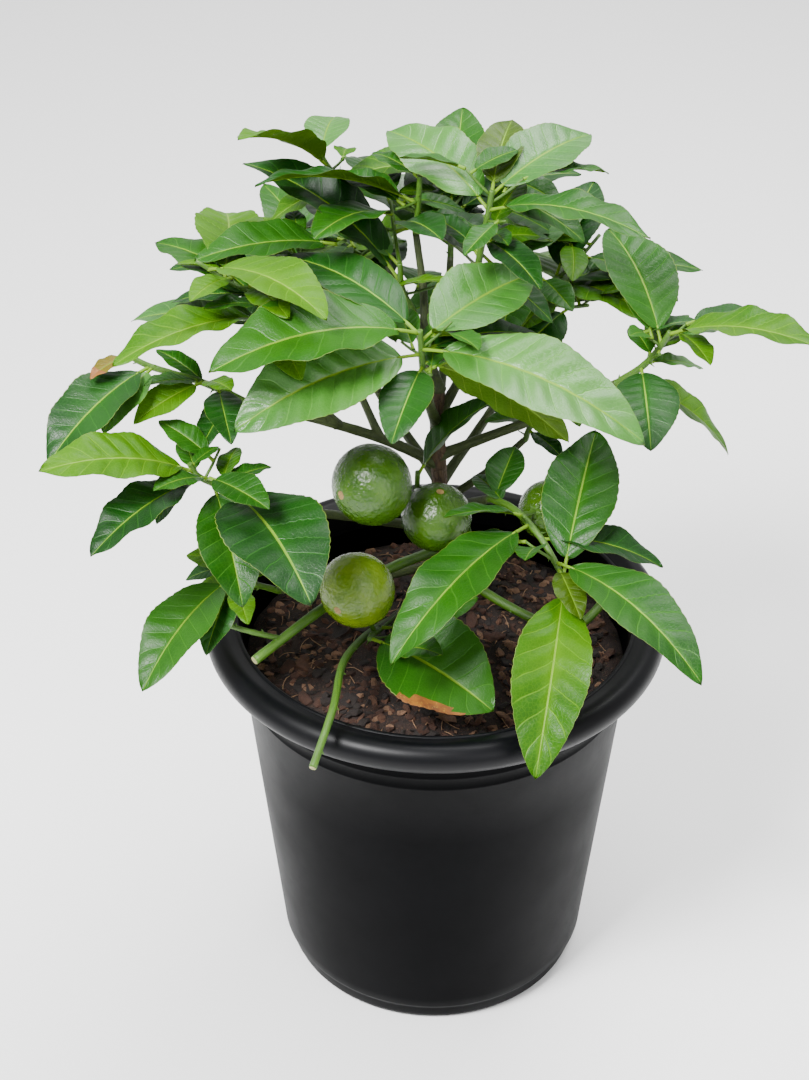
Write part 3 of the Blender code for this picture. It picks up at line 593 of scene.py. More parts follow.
def carry_on(limb, radii, path):
    """Start a path at the clear gap past a limb's end, square to that end."""
    ahead = (limb[-1] - limb[-2]).normalized()
    start = limb[-1] + ahead * CLEAR
    return [start, start + ahead * radii[-1] * 0.6] + path[1:]


def limb_shapes():
    """Path and radii of the trunk and of every limb, as the solids have them."""
    path = smooth_path([mm(p) for p in TRUNK_PATH], 1)
    grown = {"trunk": (path, [r * MM for r in TRUNK_RADII])}
    for name, parent, joint, points, root, tip in LIMBS:
        path = smooth_path([mm(p) for p in points], PATH_STEPS)
        if joint == "tip":
            path = carry_on(*grown[parent], path)
        else:
            path = leave_side(path, root * MM, grown[parent])
        grown[name] = (path, taper(path, root * MM, tip * MM))
    return grown


LIMB_SHAPES = limb_shapes()


def finer(path, radii, steps):
    """A path and its radii with more points on the same curve."""
    fine = smooth_path(path, steps)
    widths = []
    for a, b in zip(radii, radii[1:]):
        widths += [a + (b - a) * k / steps for k in range(steps)]
    return fine, widths + [radii[-1]]


def limb(bm, path, radii, sides, relief=0.0, seed=0.0, ring_gap=0.0, slot=0):
    """A sheet rolled about a path, its seam joined and its ends closed, with relief and bud rings."""
    ahead = [(b - a).normalized() for a, b in zip(path, path[1:])]
    ahead.append(ahead[-1])
    across = ahead[0].orthogonal().normalized()
    axes = []
    for direction in ahead:
        across = (across - direction * across.dot(direction)).normalized()
        axes.append((across, direction.cross(across)))

    def shape(column, row):
        turn = tau * (column % sides) / sides
        a, b = axes[row]
        out = a * cos(turn) + b * sin(turn)
        broad = Vector((cos(turn) * 1.4, sin(turn) * 1.4, path[row].z * 60 + path[row].x * 60 + seed))
        ribs = Vector((cos(turn) * 4, sin(turn) * 4, path[row].z * 18 + seed))
        swell = relief * noise.fractal(broad, 0.8, 2.1, 3) + relief * 0.8 * noise.noise(ribs)
        if ring_gap:
            swell += 0.05 * max(0.0, cos(tau * row / ring_gap)) ** 8
        return path[row] + out * radii[row] * (1.0 + swell)

    _, faces = sheet(bm, sides, len(path) - 1, shape, closed=True)
    ends = [e for f in faces if f.is_valid for e in f.edges if len(e.link_faces) == 1]
    bmesh.ops.holes_fill(bm, edges=list(set(ends)), sides=0)
    for face in faces:
        if face.is_valid:
            face.material_index = slot
            face.smooth = True


def piece_from(name, bm, finishes, stands_for=()):
    """A finished piece that rides on the plant, and replaces the nodes that it stands for."""
    mesh = bpy.data.meshes.new(name)
    bm.normal_update()
    bm.to_mesh(mesh)
    bm.free()
    for finish in finishes:
        mesh.materials.append(finish)
    made = bpy.data.objects.new(name, mesh)
    bpy.context.scene.collection.objects.link(made)
    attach(made, "root")
    if stands_for:
        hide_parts(*stands_for)
    return made


# Wood

def make_wood():
    """Trunk and boughs with their bark's relief, and the pruned shoots; returns the green bark."""
    bark = furrowed("young_bark", (0.115, 0.070, 0.034), (0.034, 0.019, 0.009), 0.78, 0.8, 0.0012)
    bough_bark = furrowed("bough_bark", (0.050, 0.072, 0.012), (0.018, 0.030, 0.005), 0.62, 0.5, 0.0008)
    green = furrowed("green_bark", (0.060, 0.150, 0.002), (0.024, 0.078, 0.001), 0.5, 0.35, 0.0006)
    pith = speckled("cut_end", (0.36, 0.34, 0.15), (0.18, 0.18, 0.06), (0.14, 0.09, 0.03), 0.6, 400.0, 0.7)
    bm = bmesh.new()
    path, radii = finer(*LIMB_SHAPES["trunk"], 9)
    limb(bm, path, radii, 26, 0.055)
    for k, (name, parent, joint, points, root, tip) in enumerate(LIMBS):
        if name.startswith("cut"):
            continue
        start = [mm(points[0])] if joint == "side" else [LIMB_SHAPES[parent][0][-1]]
        path, radii = LIMB_SHAPES[name]
        path, radii = finer(start + path[1:], radii, 5)
        radii = [r * (1.0 + 0.32 * max(0.0, 1.0 - n / 7) ** 2) for n, r in enumerate(radii)]
        limb(bm, path, radii, 16, 0.04, 3.1 * k, 11, 1)
    names = [row[0] for row in LIMBS if not row[0].startswith("cut")]
    piece_from("trunk_and_boughs", bm, [bark, bough_bark], ["trunk", *names])

    bm = bmesh.new()
    for k, (name, parent, joint, points, root, tip) in enumerate(LIMBS):
        if not name.startswith("cut"):
            continue
        path, radii = LIMB_SHAPES[name]
        path, radii = finer([mm(points[0])] + path[1:], radii, 6)
        limb(bm, path, radii, 14, 0.025, 2.3 * k, 13)
        stub_end(bm, path, radii[-1])
        for n in range(9, len(path) - 4, 13):
            bud(bm, path[n], (path[n + 1] - path[n]).normalized(), radii[n], GOLDEN_ANGLE * n)
    cut = [row[0] for row in LIMBS if row[0].startswith("cut")]
    piece_from("cut_shoots", bm, [green, pith], cut)
    return green


def stub_end(bm, path, radius):
    """The pale cut face at the end of a pruned shoot: a disc a little proud of the wood."""
    ahead = (path[-1] - path[-2]).normalized()
    turn = ahead.to_track_quat("Z", "Y").to_matrix().to_4x4()
    place = Matrix.Translation(path[-1] + ahead * 0.0001) @ turn
    made = bmesh.ops.create_cone(bm, cap_ends=True, segments=16, radius1=radius * 0.97, radius2=radius * 0.80,
                                 depth=0.0007, matrix=place)["verts"]
    for face in {f for v in made for f in v.link_faces}:
        face.material_index = 1


def bud(bm, point, ahead, radius, turn):
    """A small pointed bud on the side of a twig."""
    side = Matrix.Rotation(radians(turn), 3, ahead) @ ahead.orthogonal().normalized()
    lean = (side + ahead * 0.8).normalized().to_track_quat("Z", "Y").to_matrix().to_4x4()
    place = Matrix.Translation(point + side * radius * 0.9) @ lean
    made = bmesh.ops.create_cone(bm, cap_ends=True, segments=7, radius1=0.0009, radius2=0.0002, depth=0.0032,
                                 matrix=place)["verts"]
    for face in {f for v in made for f in v.link_faces}:
        face.smooth = True


def thorn(bm, point, ahead, turn, length):
    """A slender green spine beside a leaf stalk."""
    side = Matrix.Rotation(radians(turn), 3, ahead) @ ahead.orthogonal().normalized()
    tip = point + side * length + ahead * length * 0.35
    limb(bm, [point, point.lerp(tip, 0.5), tip], [0.0006, 0.00045, 0.00008], 6)


# Leaves

def arch_of(length):
    """Rise of the middle of a leaf over its chord, as a share of its length: long leaves arch more."""
    return 0.04 + 0.6 * length


def leaf_place(base, heading, rise, length, roll=0, width=LEAF_WIDTH):
    """Axes of a leaf from its heading, rise and roll in degrees."""
    h, r = radians(heading), radians(rise)
    ahead = Vector((cos(r) * cos(h), cos(r) * sin(h), sin(r)))
    up = (Vector((0, 0, 1)) - ahead * ahead.z).normalized()
    up = Matrix.Rotation(radians(roll), 3, ahead) @ up
    return base, ahead, ahead.cross(up), up, length, width


def blade_half_width(blade, width):
    """Half width of a blade at a share of the way from its stalk to its tip."""
    return 0.5 * width * max(0.0, sin(pi * min(1.0, blade) ** 0.88)) ** 0.74


def lift_at(share, length):
    """Rise of a leaf over its chord at a share of its length."""
    return arch_of(length) * length * 4 * share * (1.0 - share)


def add_leaf(bm, place, tone, under, relief, dice, scorch=False):
    """A leaf as a thin closed lens: an upper and a lower sheet that meet at a toothed margin."""
    base, ahead, side, up, length, width = place
    columns = 2 * (len(HALF_COLUMNS) - 1)
    middle = columns // 2
    sway = dice.uniform(-0.018, 0.018) * length
    wave = dice.uniform(0.0006, 0.0016) * length / RELIEF_LENGTH
    wave_turn = dice.uniform(0, tau)
    waves = dice.uniform(2.0, 3.4)
    droop = dice.uniform(0.0, 0.03) * length
    cup = dice.uniform(-0.05, 0.10)
    stalk_share = STALK_SHARE * 0.92

    def shape_of(face_side):
        def shape(column, row):
            across = HALF_COLUMNS[abs(column - middle)] * (1 if column > middle else -1)
            reach = abs(across)
            blade = row / BLADE_ROWS
            share = stalk_share + (1.0 - stalk_share) * blade
            tooth = abs(sin(pi * TEETH * (blade + 0.01 * across)))
            half = blade_half_width(blade, width * length) * (1.0 - 0.035 * reach ** 6 * (1.0 - tooth))
            phase = SIDE_VEINS * blade - VEIN_SLANT * abs(column - middle) / middle
            panel = abs(sin(pi * phase)) ** 0.6 - 0.62
            fade = min(1.0, reach * 5.0) * (1.0 - reach ** 3) * sin(pi * blade) ** 0.5
            bulge = relief * PANEL_BULGE * panel * fade * length / RELIEF_LENGTH
            wave_side = 1.2 if across > 0 else 0.0
            ripple = wave * reach ** 2.2 * sin(tau * waves * blade + wave_turn + wave_side)
            point = base + ahead * (share * length)
            point += side * (across * half * cos(LEAF_FOLD) + sway * sin(pi * share))
            point += up * (lift_at(share, length) - droop * share ** 3 + ripple + bulge
                           + reach * half * (sin(LEAF_FOLD) - cup * reach))
            skin = HALF_THICKNESS * (1.0 - reach ** 4) * min(1.0, 12 * blade, 12 * (1.0 - blade))
            if face_side > 0:
                rib_dip = RIB_DIP if reach < 0.01 else 0.0
                return point + up * (skin - rib_dip * sin(pi * blade))
            rib = RIB_RISE * max(0.0, 1.0 - reach / 0.05) * (1.0 - 0.6 * blade) * min(1.0, 12 * (1.0 - blade))
            return point - up * (skin + rib)
        return shape

    border = []
    for face_side in (1, -1):
        spot, faces = sheet(bm, columns, BLADE_ROWS, shape_of(face_side))
        for face in faces:
            reach = sum(abs(spot[v][0] - middle) for v in face.verts) / 4
            row = sum(spot[v][1] for v in face.verts) / 4 / BLADE_ROWS
            right = sum(spot[v][0] for v in face.verts) / 4 > middle
            run = (row - SCORCH_START) / SCORCH_RUN
            face.smooth = True
            face.material_index = LEAF_SLOTS[tone if face_side > 0 else under]
            if reach < 1:
                face.material_index = LEAF_SLOTS["rib"]
            elif reach > len(HALF_COLUMNS) - 2 and face_side > 0:
                face.material_index = LEAF_SLOTS["margin"]
            if scorch and right and 0 < run < 1 and reach > 7.4 - 1.8 * sin(pi * run):
                face.material_index = LEAF_SLOTS["scorch"]
            if tone == "r" and row > 0.72:
                face.material_index = LEAF_SLOTS["scorch"]
        if face_side < 0:
            bmesh.ops.reverse_faces(bm, faces=faces)
        border += [v for v, (column, row) in spot.items() if column in (0, columns) or row in (0, BLADE_ROWS)]
    bmesh.ops.remove_doubles(bm, verts=border, dist=2e-5)
    stalk = []
    for k in range(len(STALK_RADII)):
        share = (STALK_SHARE + 0.02) * k / (len(STALK_RADII) - 1)
        stalk.append(base + ahead * share * length + up * lift_at(share, length)
                     + side * sway * sin(pi * share) - up * 0.0002)
    limb(bm, stalk, STALK_RADII, 8, slot=LEAF_SLOTS["rib"])


def solid_of(node):
    """Search tree of a solid of the frame."""
    bm = bmesh.new()
    bm.from_mesh(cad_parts[node].data)
    found = BVHTree.FromBMesh(bm)
    bm.free()
    return found


def leaf_that_stands(solid, base, heading, rise, length, roll=0, width=LEAF_WIDTH):
    """The lie of a leaf that its mass's solid has: its tip lies on the solid."""
    for turn, lift in NUDGES:
        place = leaf_place(base, heading + turn, rise + lift, length, roll, width)
        if solid.find_nearest(base + place[1] * length, 0.0012)[0]:
            return place
    return None


def opened(place, roll, breadth):
    """A leaf rolled further about its midrib and made a little broader."""
    base, ahead, side, up, length, width = place
    turn = Matrix.Rotation(radians(roll), 3, ahead)
    return base, ahead, turn @ side, turn @ up, length, width * breadth


def stem_of(shoot):
    """Path and root radius of a shoot's stem."""
    points = [mm(p) for p in shoot["stem"]]
    limb_path, limb_radii = LIMB_SHAPES[shoot["limb"]]
    if "root" in shoot:
        path = smooth_path([mm(shoot["root"])] + points, PATH_STEPS)
        return leave_side(path, SIDE_STEM_RADIUS, LIMB_SHAPES[shoot["limb"]]), SIDE_STEM_RADIUS
    return carry_on(limb_path, limb_radii, smooth_path([limb_path[-1]] + points, PATH_STEPS)), limb_radii[-1]


def rule_growth(shoot, path, solid):
    """Twigs and leaves of the growth rule that stand in the mass's solid."""
    dice = random.Random(shoot["seed"])
    twigs, leaves = [], []
    for k in range(shoot.get("twigs", 0)):
        root, _ = along(path, 0.94 - 0.2 * k)
        heading = 60 + 20 * shoot["seed"] + GOLDEN_ANGLE * k
        ahead = leaf_place(root, heading, TWIG_RISE - 6 * k + dice.uniform(-6, 6), 0, 0, 0)[1]
        end = root + ahead * TWIG_LENGTH * dice.uniform(0.8, 1.15)
        middle = root.lerp(end, 0.5) + Vector((0, 0, -0.002))
        twig = smooth_path([root, middle, end], 2)
        if not solid.find_nearest(end, 0.0016)[0]:
            continue
        kept = []
        for j, share in enumerate((1.0, 0.8, 0.55)):
            base, _ = along(twig, share, LEAF_ROOT)
            turn = (GOLDEN_ANGLE * j if j else 8) * (-1) ** k
            rise = 18 - 14 * j + dice.uniform(-8, 8)
            length = RULE_LEAF * dice.uniform(0.8, 1.15)
            roll = dice.uniform(-12, 12)
            width = LEAF_WIDTH * dice.uniform(0.92, 1.08)
            place = leaf_that_stands(solid, base, heading + turn, rise, length, roll, width)
            if place:
                kept.append(place)
        if kept:
            twigs.append(twig)
            leaves += kept
    return twigs, leaves


def photo_pixel(point):
    """Where the photograph's camera sees a point."""
    turn = Matrix.Rotation(CAMERA_TURN, 3, "Z") @ Matrix.Rotation(CAMERA_TILT, 3, "X")
    seen = turn.transposed() @ (point - CAMERA_PLACE)
    focal = CAMERA_LENS / SENSOR * PHOTO_WIDTH
    return PHOTO_WIDTH / 2 + focal * seen.x / -seen.z, PHOTO_HEIGHT / 2 - focal * seen.y / -seen.z


def shows_sky(place):
    """Whether a leaf would cover a window of wall that the photograph shows through the crown."""
    base, ahead, side, up, length, width = place
    for share in (0.35, 0.6, 0.85, 1.0):
        for across in (-0.4, 0.0, 0.4):
            point = base + ahead * share * length + side * across * width * length
            point += up * lift_at(share, length)
            x, y = photo_pixel(point)
            if any(x0 < x < x1 and y0 < y < y1 for x0, y0, x1, y1 in SKY_WINDOWS):
                return True
    return False


def probe_of(place, start=0.30):
    """A thin lens in the space of a leaf, from a share of its length to its tip."""
    base, ahead, side, up, length, width = place
    bm = bmesh.new()

    def shape(column, row):
        share = start + (1.0 - start) * row / 5
        half = blade_half_width((share - STALK_SHARE) / (1 - STALK_SHARE), width * length) + 0.0008
        across = column / 2 - 1
        return (base + ahead * share * length + side * across * half * cos(LEAF_FOLD)
                + up * (lift_at(share, length) + abs(across) * half * sin(LEAF_FOLD)))

    sheet(bm, 4, 5, shape)
    found = BVHTree.FromBMesh(bm)
    bm.free()
    return found


def in_crown(point):
    return sum(((point[k] - CROWN_MIDDLE[k]) / CROWN_REACH[k]) ** 2 for k in range(3)) < 1.0


def fine_growth(shoot, runs, solids, own, taken):
    """Finer twigs with small leaves, within the reach of the mass and clear of every solid."""
    dice = random.Random(100 + shoot["seed"])
    low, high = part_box(shoot["name"])
    twigs, leaves = [], []
    for k in range(FINE_TWIGS + 2 * shoot.get("twigs", 0)):
        run = runs[k % len(runs)]
        root, _ = along(run, dice.uniform(0.25, 0.95))
        heading = dice.uniform(0, 40) + GOLDEN_ANGLE * k
        ahead = leaf_place(root, heading, dice.uniform(-5, 45), 0, 0, 0)[1]
        end = root + ahead * FINE_TWIG_LENGTH * dice.uniform(0.5, 1.2)
        if any(solid.find_nearest(end, 0.0022)[0] for solid in solids):
            continue
        kept = []
        for j, share in enumerate(FINE_LEAF_SHARES):
            base = root.lerp(end, share)
            place = leaf_place(base, heading + GOLDEN_ANGLE * j * (-1) ** k + 10, dice.uniform(-22, 30),
                               FINE_LEAF * dice.uniform(0.6, 1.25), dice.uniform(-20, 20),
                               LEAF_WIDTH * dice.uniform(0.9, 1.15))
            tip = base + place[1] * place[4]
            inside = all(low[n] - BOX_SLACK < tip[n] < high[n] + BOX_SLACK for n in range(3))
            if not inside or not in_crown(tip) or shows_sky(place):
                continue
            probe = probe_of(place)
            if any(probe.overlap(solid) for solid in [*solids, own, *taken]):
                continue
            kept.append(place)
            taken.append(probe_of(place, 0.12))
        if kept:
            twigs.append([root, root.lerp(end, 0.5) + Vector((0, 0, -0.0006)), end])
            leaves += kept
    return twigs, leaves


def listed_leaves(shoot, path, solid):
    """The leaves that a shoot lists and its mass's solid has, each with its tone and relief."""
    name = shoot["name"]
    leaves = []
    for k, (share, heading, rise, length, *rest) in enumerate(shoot["leaves"]):
        base, _ = along(path, share, LEAF_ROOT)
        place = leaf_that_stands(solid, base, heading, rise, length * MM, *rest)
        if place:
            place = opened(place, *OPENED.get((name, k), (0, 1.0)))
            leaves.append((place, TONES[name][k], BULGED.get((name, k), 1.0)))
    return leaves


def add_stem(bm, shoot, path, radius, twigs, fine_twigs, dice):
    """A shoot's stem and twigs, with buds and spines along the stem."""
    start = mm(shoot["root"]) if "root" in shoot else LIMB_SHAPES[shoot["limb"]][0][-1]
    run, widths = finer([start] + path[1:], taper(path, radius, STEM_TIP_RADIUS), 4)
    limb(bm, run, widths, 12, 0.03, shoot["seed"], 9)
    for twig in twigs:
        limb(bm, *finer(twig, taper(twig, TWIG_RADIUS, TWIG_TIP), 3), 8, 0.03, shoot["seed"])
    for twig in fine_twigs:
        limb(bm, *finer(twig, taper(twig, FINE_TWIG_RADIUS, FINE_TWIG_TIP), 2), 7)
    for n in range(6, len(run) - 3, 7):
        ahead = (run[n + 1] - run[n]).normalized()
        bud(bm, run[n], ahead, widths[n], GOLDEN_ANGLE * n)
        if dice.random() < THORN_SHARE:
            thorn(bm, run[n], ahead, GOLDEN_ANGLE * n + 30, dice.uniform(0.004, 0.007))


def make_foliage():
    """The leaves of all masses, in a few pieces; returns the mesh of their stems and twigs."""
    others = [solid_of(n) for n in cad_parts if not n.startswith("foliage")]
    masses = {shoot["name"]: solid_of(shoot["name"]) for shoot in SHOOTS}
    twig_bm = bmesh.new()
    taken = []
    grown = {}
    for shoot in SHOOTS:
        name = shoot["name"]
        path, radius = stem_of(shoot)
        solid = masses[name]
        twigs, ruled = rule_growth(shoot, path, solid)
        around = others + [masses[n] for n in masses if n != name]
        fine_twigs, fine = fine_growth(shoot, [path, *twigs], around, solid, taken)
        dice = random.Random(500 + shoot["seed"])
        grown[name] = listed_leaves(shoot, path, solid)
        # Rule and fine leaves draw their tones at random, p among them with its painted sheen
        grown[name] += [(place, dice.choice("ddmmmpy"), 1.0) for place in ruled]
        grown[name] += [(place, dice.choice("dmmyy"), 0.8) for place in fine]
        add_stem(twig_bm, shoot, path, radius, twigs, fine_twigs, dice)
    for piece, names in LEAF_PIECES.items():
        bm = bmesh.new()
        dice = random.Random(len(names) + len(piece))
        for name in names:
            for k, (place, tone, relief) in enumerate(grown[name]):
                scorch = name == "foliage_low_front" and k == 0
                # Leaves of tones y and p get the underside with the painted backlit glow
                under = "under_painted_backlight" if tone in "yp" else "under"
                add_leaf(bm, place, tone, under, relief, dice, scorch)
        piece_from(piece, bm, LEAF_FINISHES.values(), names)
    return twig_bm


# Limes

def make_limes(twig_bm, green):
    """Four limes with pebbled peel and a flower scar; their stalks and calyxes join the twigs."""
    peel = speckled("lime_peel", (0.038, 0.100, 0.0), (0.010, 0.044, 0.0), (0.07, 0.13, 0.0), 0.35, 70.0,
                    0.27, 0.75, 0.0006, Specular_IOR_Level=0.5)
    ripe = speckled("lime_peel_ripe", (0.120, 0.190, 0.0), (0.050, 0.110, 0.0), (0.07, 0.13, 0.0), 0.35, 70.0,
                    0.27, 0.75, 0.0006, Specular_IOR_Level=0.5)
    scar = speckled("flower_scar", (0.30, 0.20, 0.07), (0.13, 0.07, 0.02), (0.4, 0.3, 0.1), 0.5, 300.0, 0.7)
    bm = bmesh.new()
    for shoot in SHOOTS:
        path, _ = stem_of(shoot)
        for k, (share, centre, radius) in enumerate(shoot.get("limes", ())):
            centre, radius = mm(centre), radius * MM
            base, _ = along(path, share)
            eye = Vector(LIME_EYES[(shoot["name"], k)]).normalized()
            add_lime(bm, centre, radius, eye, 1 if shoot["name"] == "foliage_low_front" else 0)
            out = (base - centre).normalized()
            rim = centre + out * radius * 0.97
            bend = rim.lerp(base, 0.5) + Vector((0, 0, -0.0015))
            limb(twig_bm, smooth_path([rim, bend, base], 4), LIME_STALK_RADII, 10, 0.03)
            add_calyx(twig_bm, rim, out)
    piece_from("limes", bm, [peel, ripe, scar])
    piece_from("twigs", twig_bm, [green])


def add_lime(bm, centre, radius, eye, skin):
    """One lime: a sheet rolled to a ball, pebbled, with a low nipple round its flower scar."""
    turn = eye.to_track_quat("Z", "Y").to_matrix()

    def shape(column, row):
        polar = pi * row / LIME_ROWS
        angle = tau * (column % LIME_COLUMNS) / LIME_COLUMNS
        out = Vector((sin(polar) * cos(angle), sin(polar) * sin(angle), -cos(polar)))
        spot = out * 9 + centre * 100
        pebble = 0.0120 * noise.noise(out * 16 + centre * 90) + 0.010 * noise.noise(spot * 0.22)
        pit = -0.0160 * max(0.0, noise.noise(out * 30 + centre * 70))
        nipple = 0.035 * max(0.0, out.z - 0.93) / 0.07 - 0.05 * max(0.0, out.z - 0.993) / 0.007
        dent = -0.05 * max(0.0, -out.z - 0.95) / 0.05
        reach = radius * (1.0 + pebble + pit + nipple + dent)
        return centre + turn @ Vector((out.x * reach, out.y * reach, out.z * reach * 0.96))

    _, faces = sheet(bm, LIME_COLUMNS, LIME_ROWS, shape, closed=True)
    for face in faces:
        if face.is_valid:
            middle = (face.calc_center_median() - centre).normalized()
            face.smooth = True
            face.material_index = 2 if middle.dot(eye) > 0.9955 else skin
    bmesh.ops.remove_doubles(bm, verts=list({v for f in faces if f.is_valid for v in f.verts}), dist=1e-5)


def add_calyx(bm, rim, out):
    """Five short lobes that clasp the lime where its stalk enters."""
    turn = out.to_track_quat("Z", "Y").to_matrix().to_4x4()
    bmesh.ops.create_cone(bm, cap_ends=True, segments=12, radius1=0.0031, radius2=0.0018, depth=0.0016,
                          matrix=Matrix.Translation(rim + out * 0.0006) @ turn)
    for k in range(5):
        side = turn.to_3x3() @ Vector((cos(tau * k / 5), sin(tau * k / 5), 0))
        tip = rim + side * 0.0046 - out * 0.0006
        limb(bm, [rim + out * 0.0004, rim.lerp(tip, 0.6) + out * 0.0002, tip], [0.0014, 0.0013, 0.0004], 7)


# Potting mix

def inner_radius(height):
    """Radius of the pot's inside at a height."""
    share = (height - FOOT_HEIGHT) / (POT_HEIGHT - RIM_ROLL - FOOT_HEIGHT)
    return BODY_FOOT_RADIUS + (BODY_TOP_RADIUS - BODY_FOOT_RADIUS) * share - POT_WALL


def soil_level(x, y):
    """Height of the bed of mix, a flat mound that falls to the wall."""
    radius = (x * x + y * y) ** 0.5
    edge = inner_radius(SOIL_EDGE)
    fall = max(0.0, min(1.0, (radius - SOIL_FLAT_RADIUS) / (edge - SOIL_FLAT_RADIUS)))
    lump = 0.0016 * noise.fractal(Vector((x * 60, y * 60, 3.0)), 0.9, 2.0, 4)
    return SOIL_TOP - 0.0022 - (SOIL_TOP - SOIL_EDGE) * fall ** 1.4 + lump


def make_bed(edge):
    """A lumpy disc of mix with a skirt down the wall and a flat underside."""
    finish = speckled("bark_mix", (0.022, 0.009, 0.005), (0.004, 0.002, 0.0015), (0.12, 0.06, 0.03),
                      0.6, 120.0, 0.92, 0.9, 0.0012)
    bm = bmesh.new()

    def shape(column, row):
        angle = tau * (column % SOIL_SIDES) / SOIL_SIDES
        radius = edge * (1.0 - row / SOIL_RINGS)
        x, y = radius * cos(angle), radius * sin(angle)
        return Vector((x, y, soil_level(x, y)))

    sheet(bm, SOIL_SIDES, SOIL_RINGS, shape, closed=True)
    bmesh.ops.remove_doubles(bm, verts=bm.verts, dist=1e-5)
    for face in bm.faces:
        face.smooth = True
    rim = [e for e in bm.edges if len(e.link_faces) == 1]
    for made in bmesh.ops.extrude_edge_only(bm, edges=rim)["geom"]:
        if isinstance(made, bmesh.types.BMVert):
            made.co.z = SOIL_EDGE - SOIL_SKIRT
    bmesh.ops.holes_fill(bm, edges=[e for e in bm.edges if len(e.link_faces) == 1], sides=0)
    bmesh.ops.recalc_face_normals(bm, faces=bm.faces)
    piece_from("mix_bed", bm, [finish], ["soil"])


def make_chips(edge, dice):
    """Bark chips of four browns strewn on the bed."""
    browns = [(0.046, 0.016, 0.007), (0.085, 0.034, 0.016), (0.012, 0.006, 0.004), (0.190, 0.100, 0.055)]
    finishes = [speckled(f"chip_{k}", brown, darker(brown, 0.4), darker(brown, 1.7), 0.5, 260.0, 0.85,
                         0.8, 0.0008) for k, brown in enumerate(browns)]
    # Without a seed, noise_vector takes its offsets from the clock
    noise.seed_set(SOIL_SEED)
    bm = bmesh.new()
    for k in range(CHIPS):
        angle, radius = dice.uniform(0, tau), (edge - 0.006) * dice.random() ** 0.5
        x, y = radius * cos(angle), radius * sin(angle)
        long = dice.uniform(0.0022, 0.0075) * (1.7 if dice.random() < LONG_CHIP_SHARE else 1.0)
        size = Vector((long, long * dice.uniform(0.4, 0.8), long * dice.uniform(0.18, 0.45)))
        tilt = Matrix.Rotation(dice.uniform(0, tau), 4, "Z")
        tilt = tilt @ Matrix.Rotation(dice.uniform(-0.6, 0.6), 4, "X")
        tilt = tilt @ Matrix.Rotation(dice.uniform(-0.5, 0.5), 4, "Y")
        lie = Matrix.Translation((x, y, soil_level(x, y) + size.z * 0.15))
        place = lie @ tilt @ Matrix.Diagonal((*size, 1.0))
        made = bmesh.ops.create_icosphere(bm, subdivisions=1, radius=0.62, matrix=place)["verts"]
        for v in made:
            v.co += 0.22 * long * noise.noise_vector(v.co * 900)
        brown = dice.choice((0, 0, 1, 2, 2, 3))
        for face in {f for v in made for f in v.link_faces}:
            face.material_index = brown
    piece_from("bark_chips", bm, finishes)


def make_fibres(edge, dice):
    """Curled coco fibres that lie on the mix."""
    fibre = speckled("coco_fibre", (0.30, 0.18, 0.10), (0.12, 0.06, 0.03), (0.4, 0.28, 0.16), 0.3, 300.0,
                     0.85)
    bm = bmesh.new()
    for k in range(FIBRES):
        angle, radius = dice.uniform(0, tau), (edge - 0.014) * dice.random() ** 0.5
        x, y = radius * cos(angle), radius * sin(angle)
        heading, curl = dice.uniform(0, tau), dice.uniform(-1.6, 1.6)
        points = []
        for n in range(6):
            points.append(Vector((x, y, soil_level(x, y) + 0.0012 + 0.0007 * sin(n))))
            x += FIBRE_STEP * cos(heading + curl * n / 5)
            y += FIBRE_STEP * sin(heading + curl * n / 5)
        if (x * x + y * y) ** 0.5 < edge - 0.002:
            limb(bm, points, [FIBRE_RADIUS] * 6, 5)
    piece_from("coco_fibres", bm, [fibre])


def make_soil():
    """The bed of mix, with the chips and fibres on it."""
    edge = inner_radius(SOIL_EDGE) - CLEAR
    dice = random.Random(SOIL_SEED)
    make_bed(edge)
    make_chips(edge, dice)
    make_fibres(edge, dice)


# Pot

def pot_pattern(t, given):
    """Moulded plastic: a faint satin mottle, fine turning lines and scuffs."""
    place = t.place()
    mottle = t.ramp(t.noise(place, 22.0, 4.0, 0.6), 0.3, 0.7)
    split = t.node("ShaderNodeSeparateXYZ", Vector=place).outputs
    lines = t.noise(t.node("ShaderNodeCombineXYZ", Z=split[2]).outputs[0], 900.0, 1.0)
    scuffs = t.ramp(t.noise(t.stretched(place, (3.0, 3.0, 14.0)), 30.0, 6.0, 0.75), 0.62, 0.74)
    shade = t.mix(mottle, given["Light"], given["Dark"])
    shade = t.mix(t.math("MULTIPLY", scuffs, given["Scuffs"]), shade, (0.10, 0.11, 0.13, 1.0))
    gloss = t.math("ADD", t.ramp(mottle, 0.0, 1.0, 0.36, 0.46), t.math("MULTIPLY", scuffs, 0.15))
    height = t.math("ADD", t.math("MULTIPLY", lines, 0.4), mottle)
    return {"Color": shade, "Height": height, "Roughness": gloss}


def arc(centre, radius, start, end, steps):
    """Points of an arc, from one angle to another in degrees."""
    turn = [radians(start + (end - start) * k / steps) for k in range(steps + 1)]
    return [(centre[0] + radius * cos(a), centre[1] + radius * sin(a)) for a in turn]


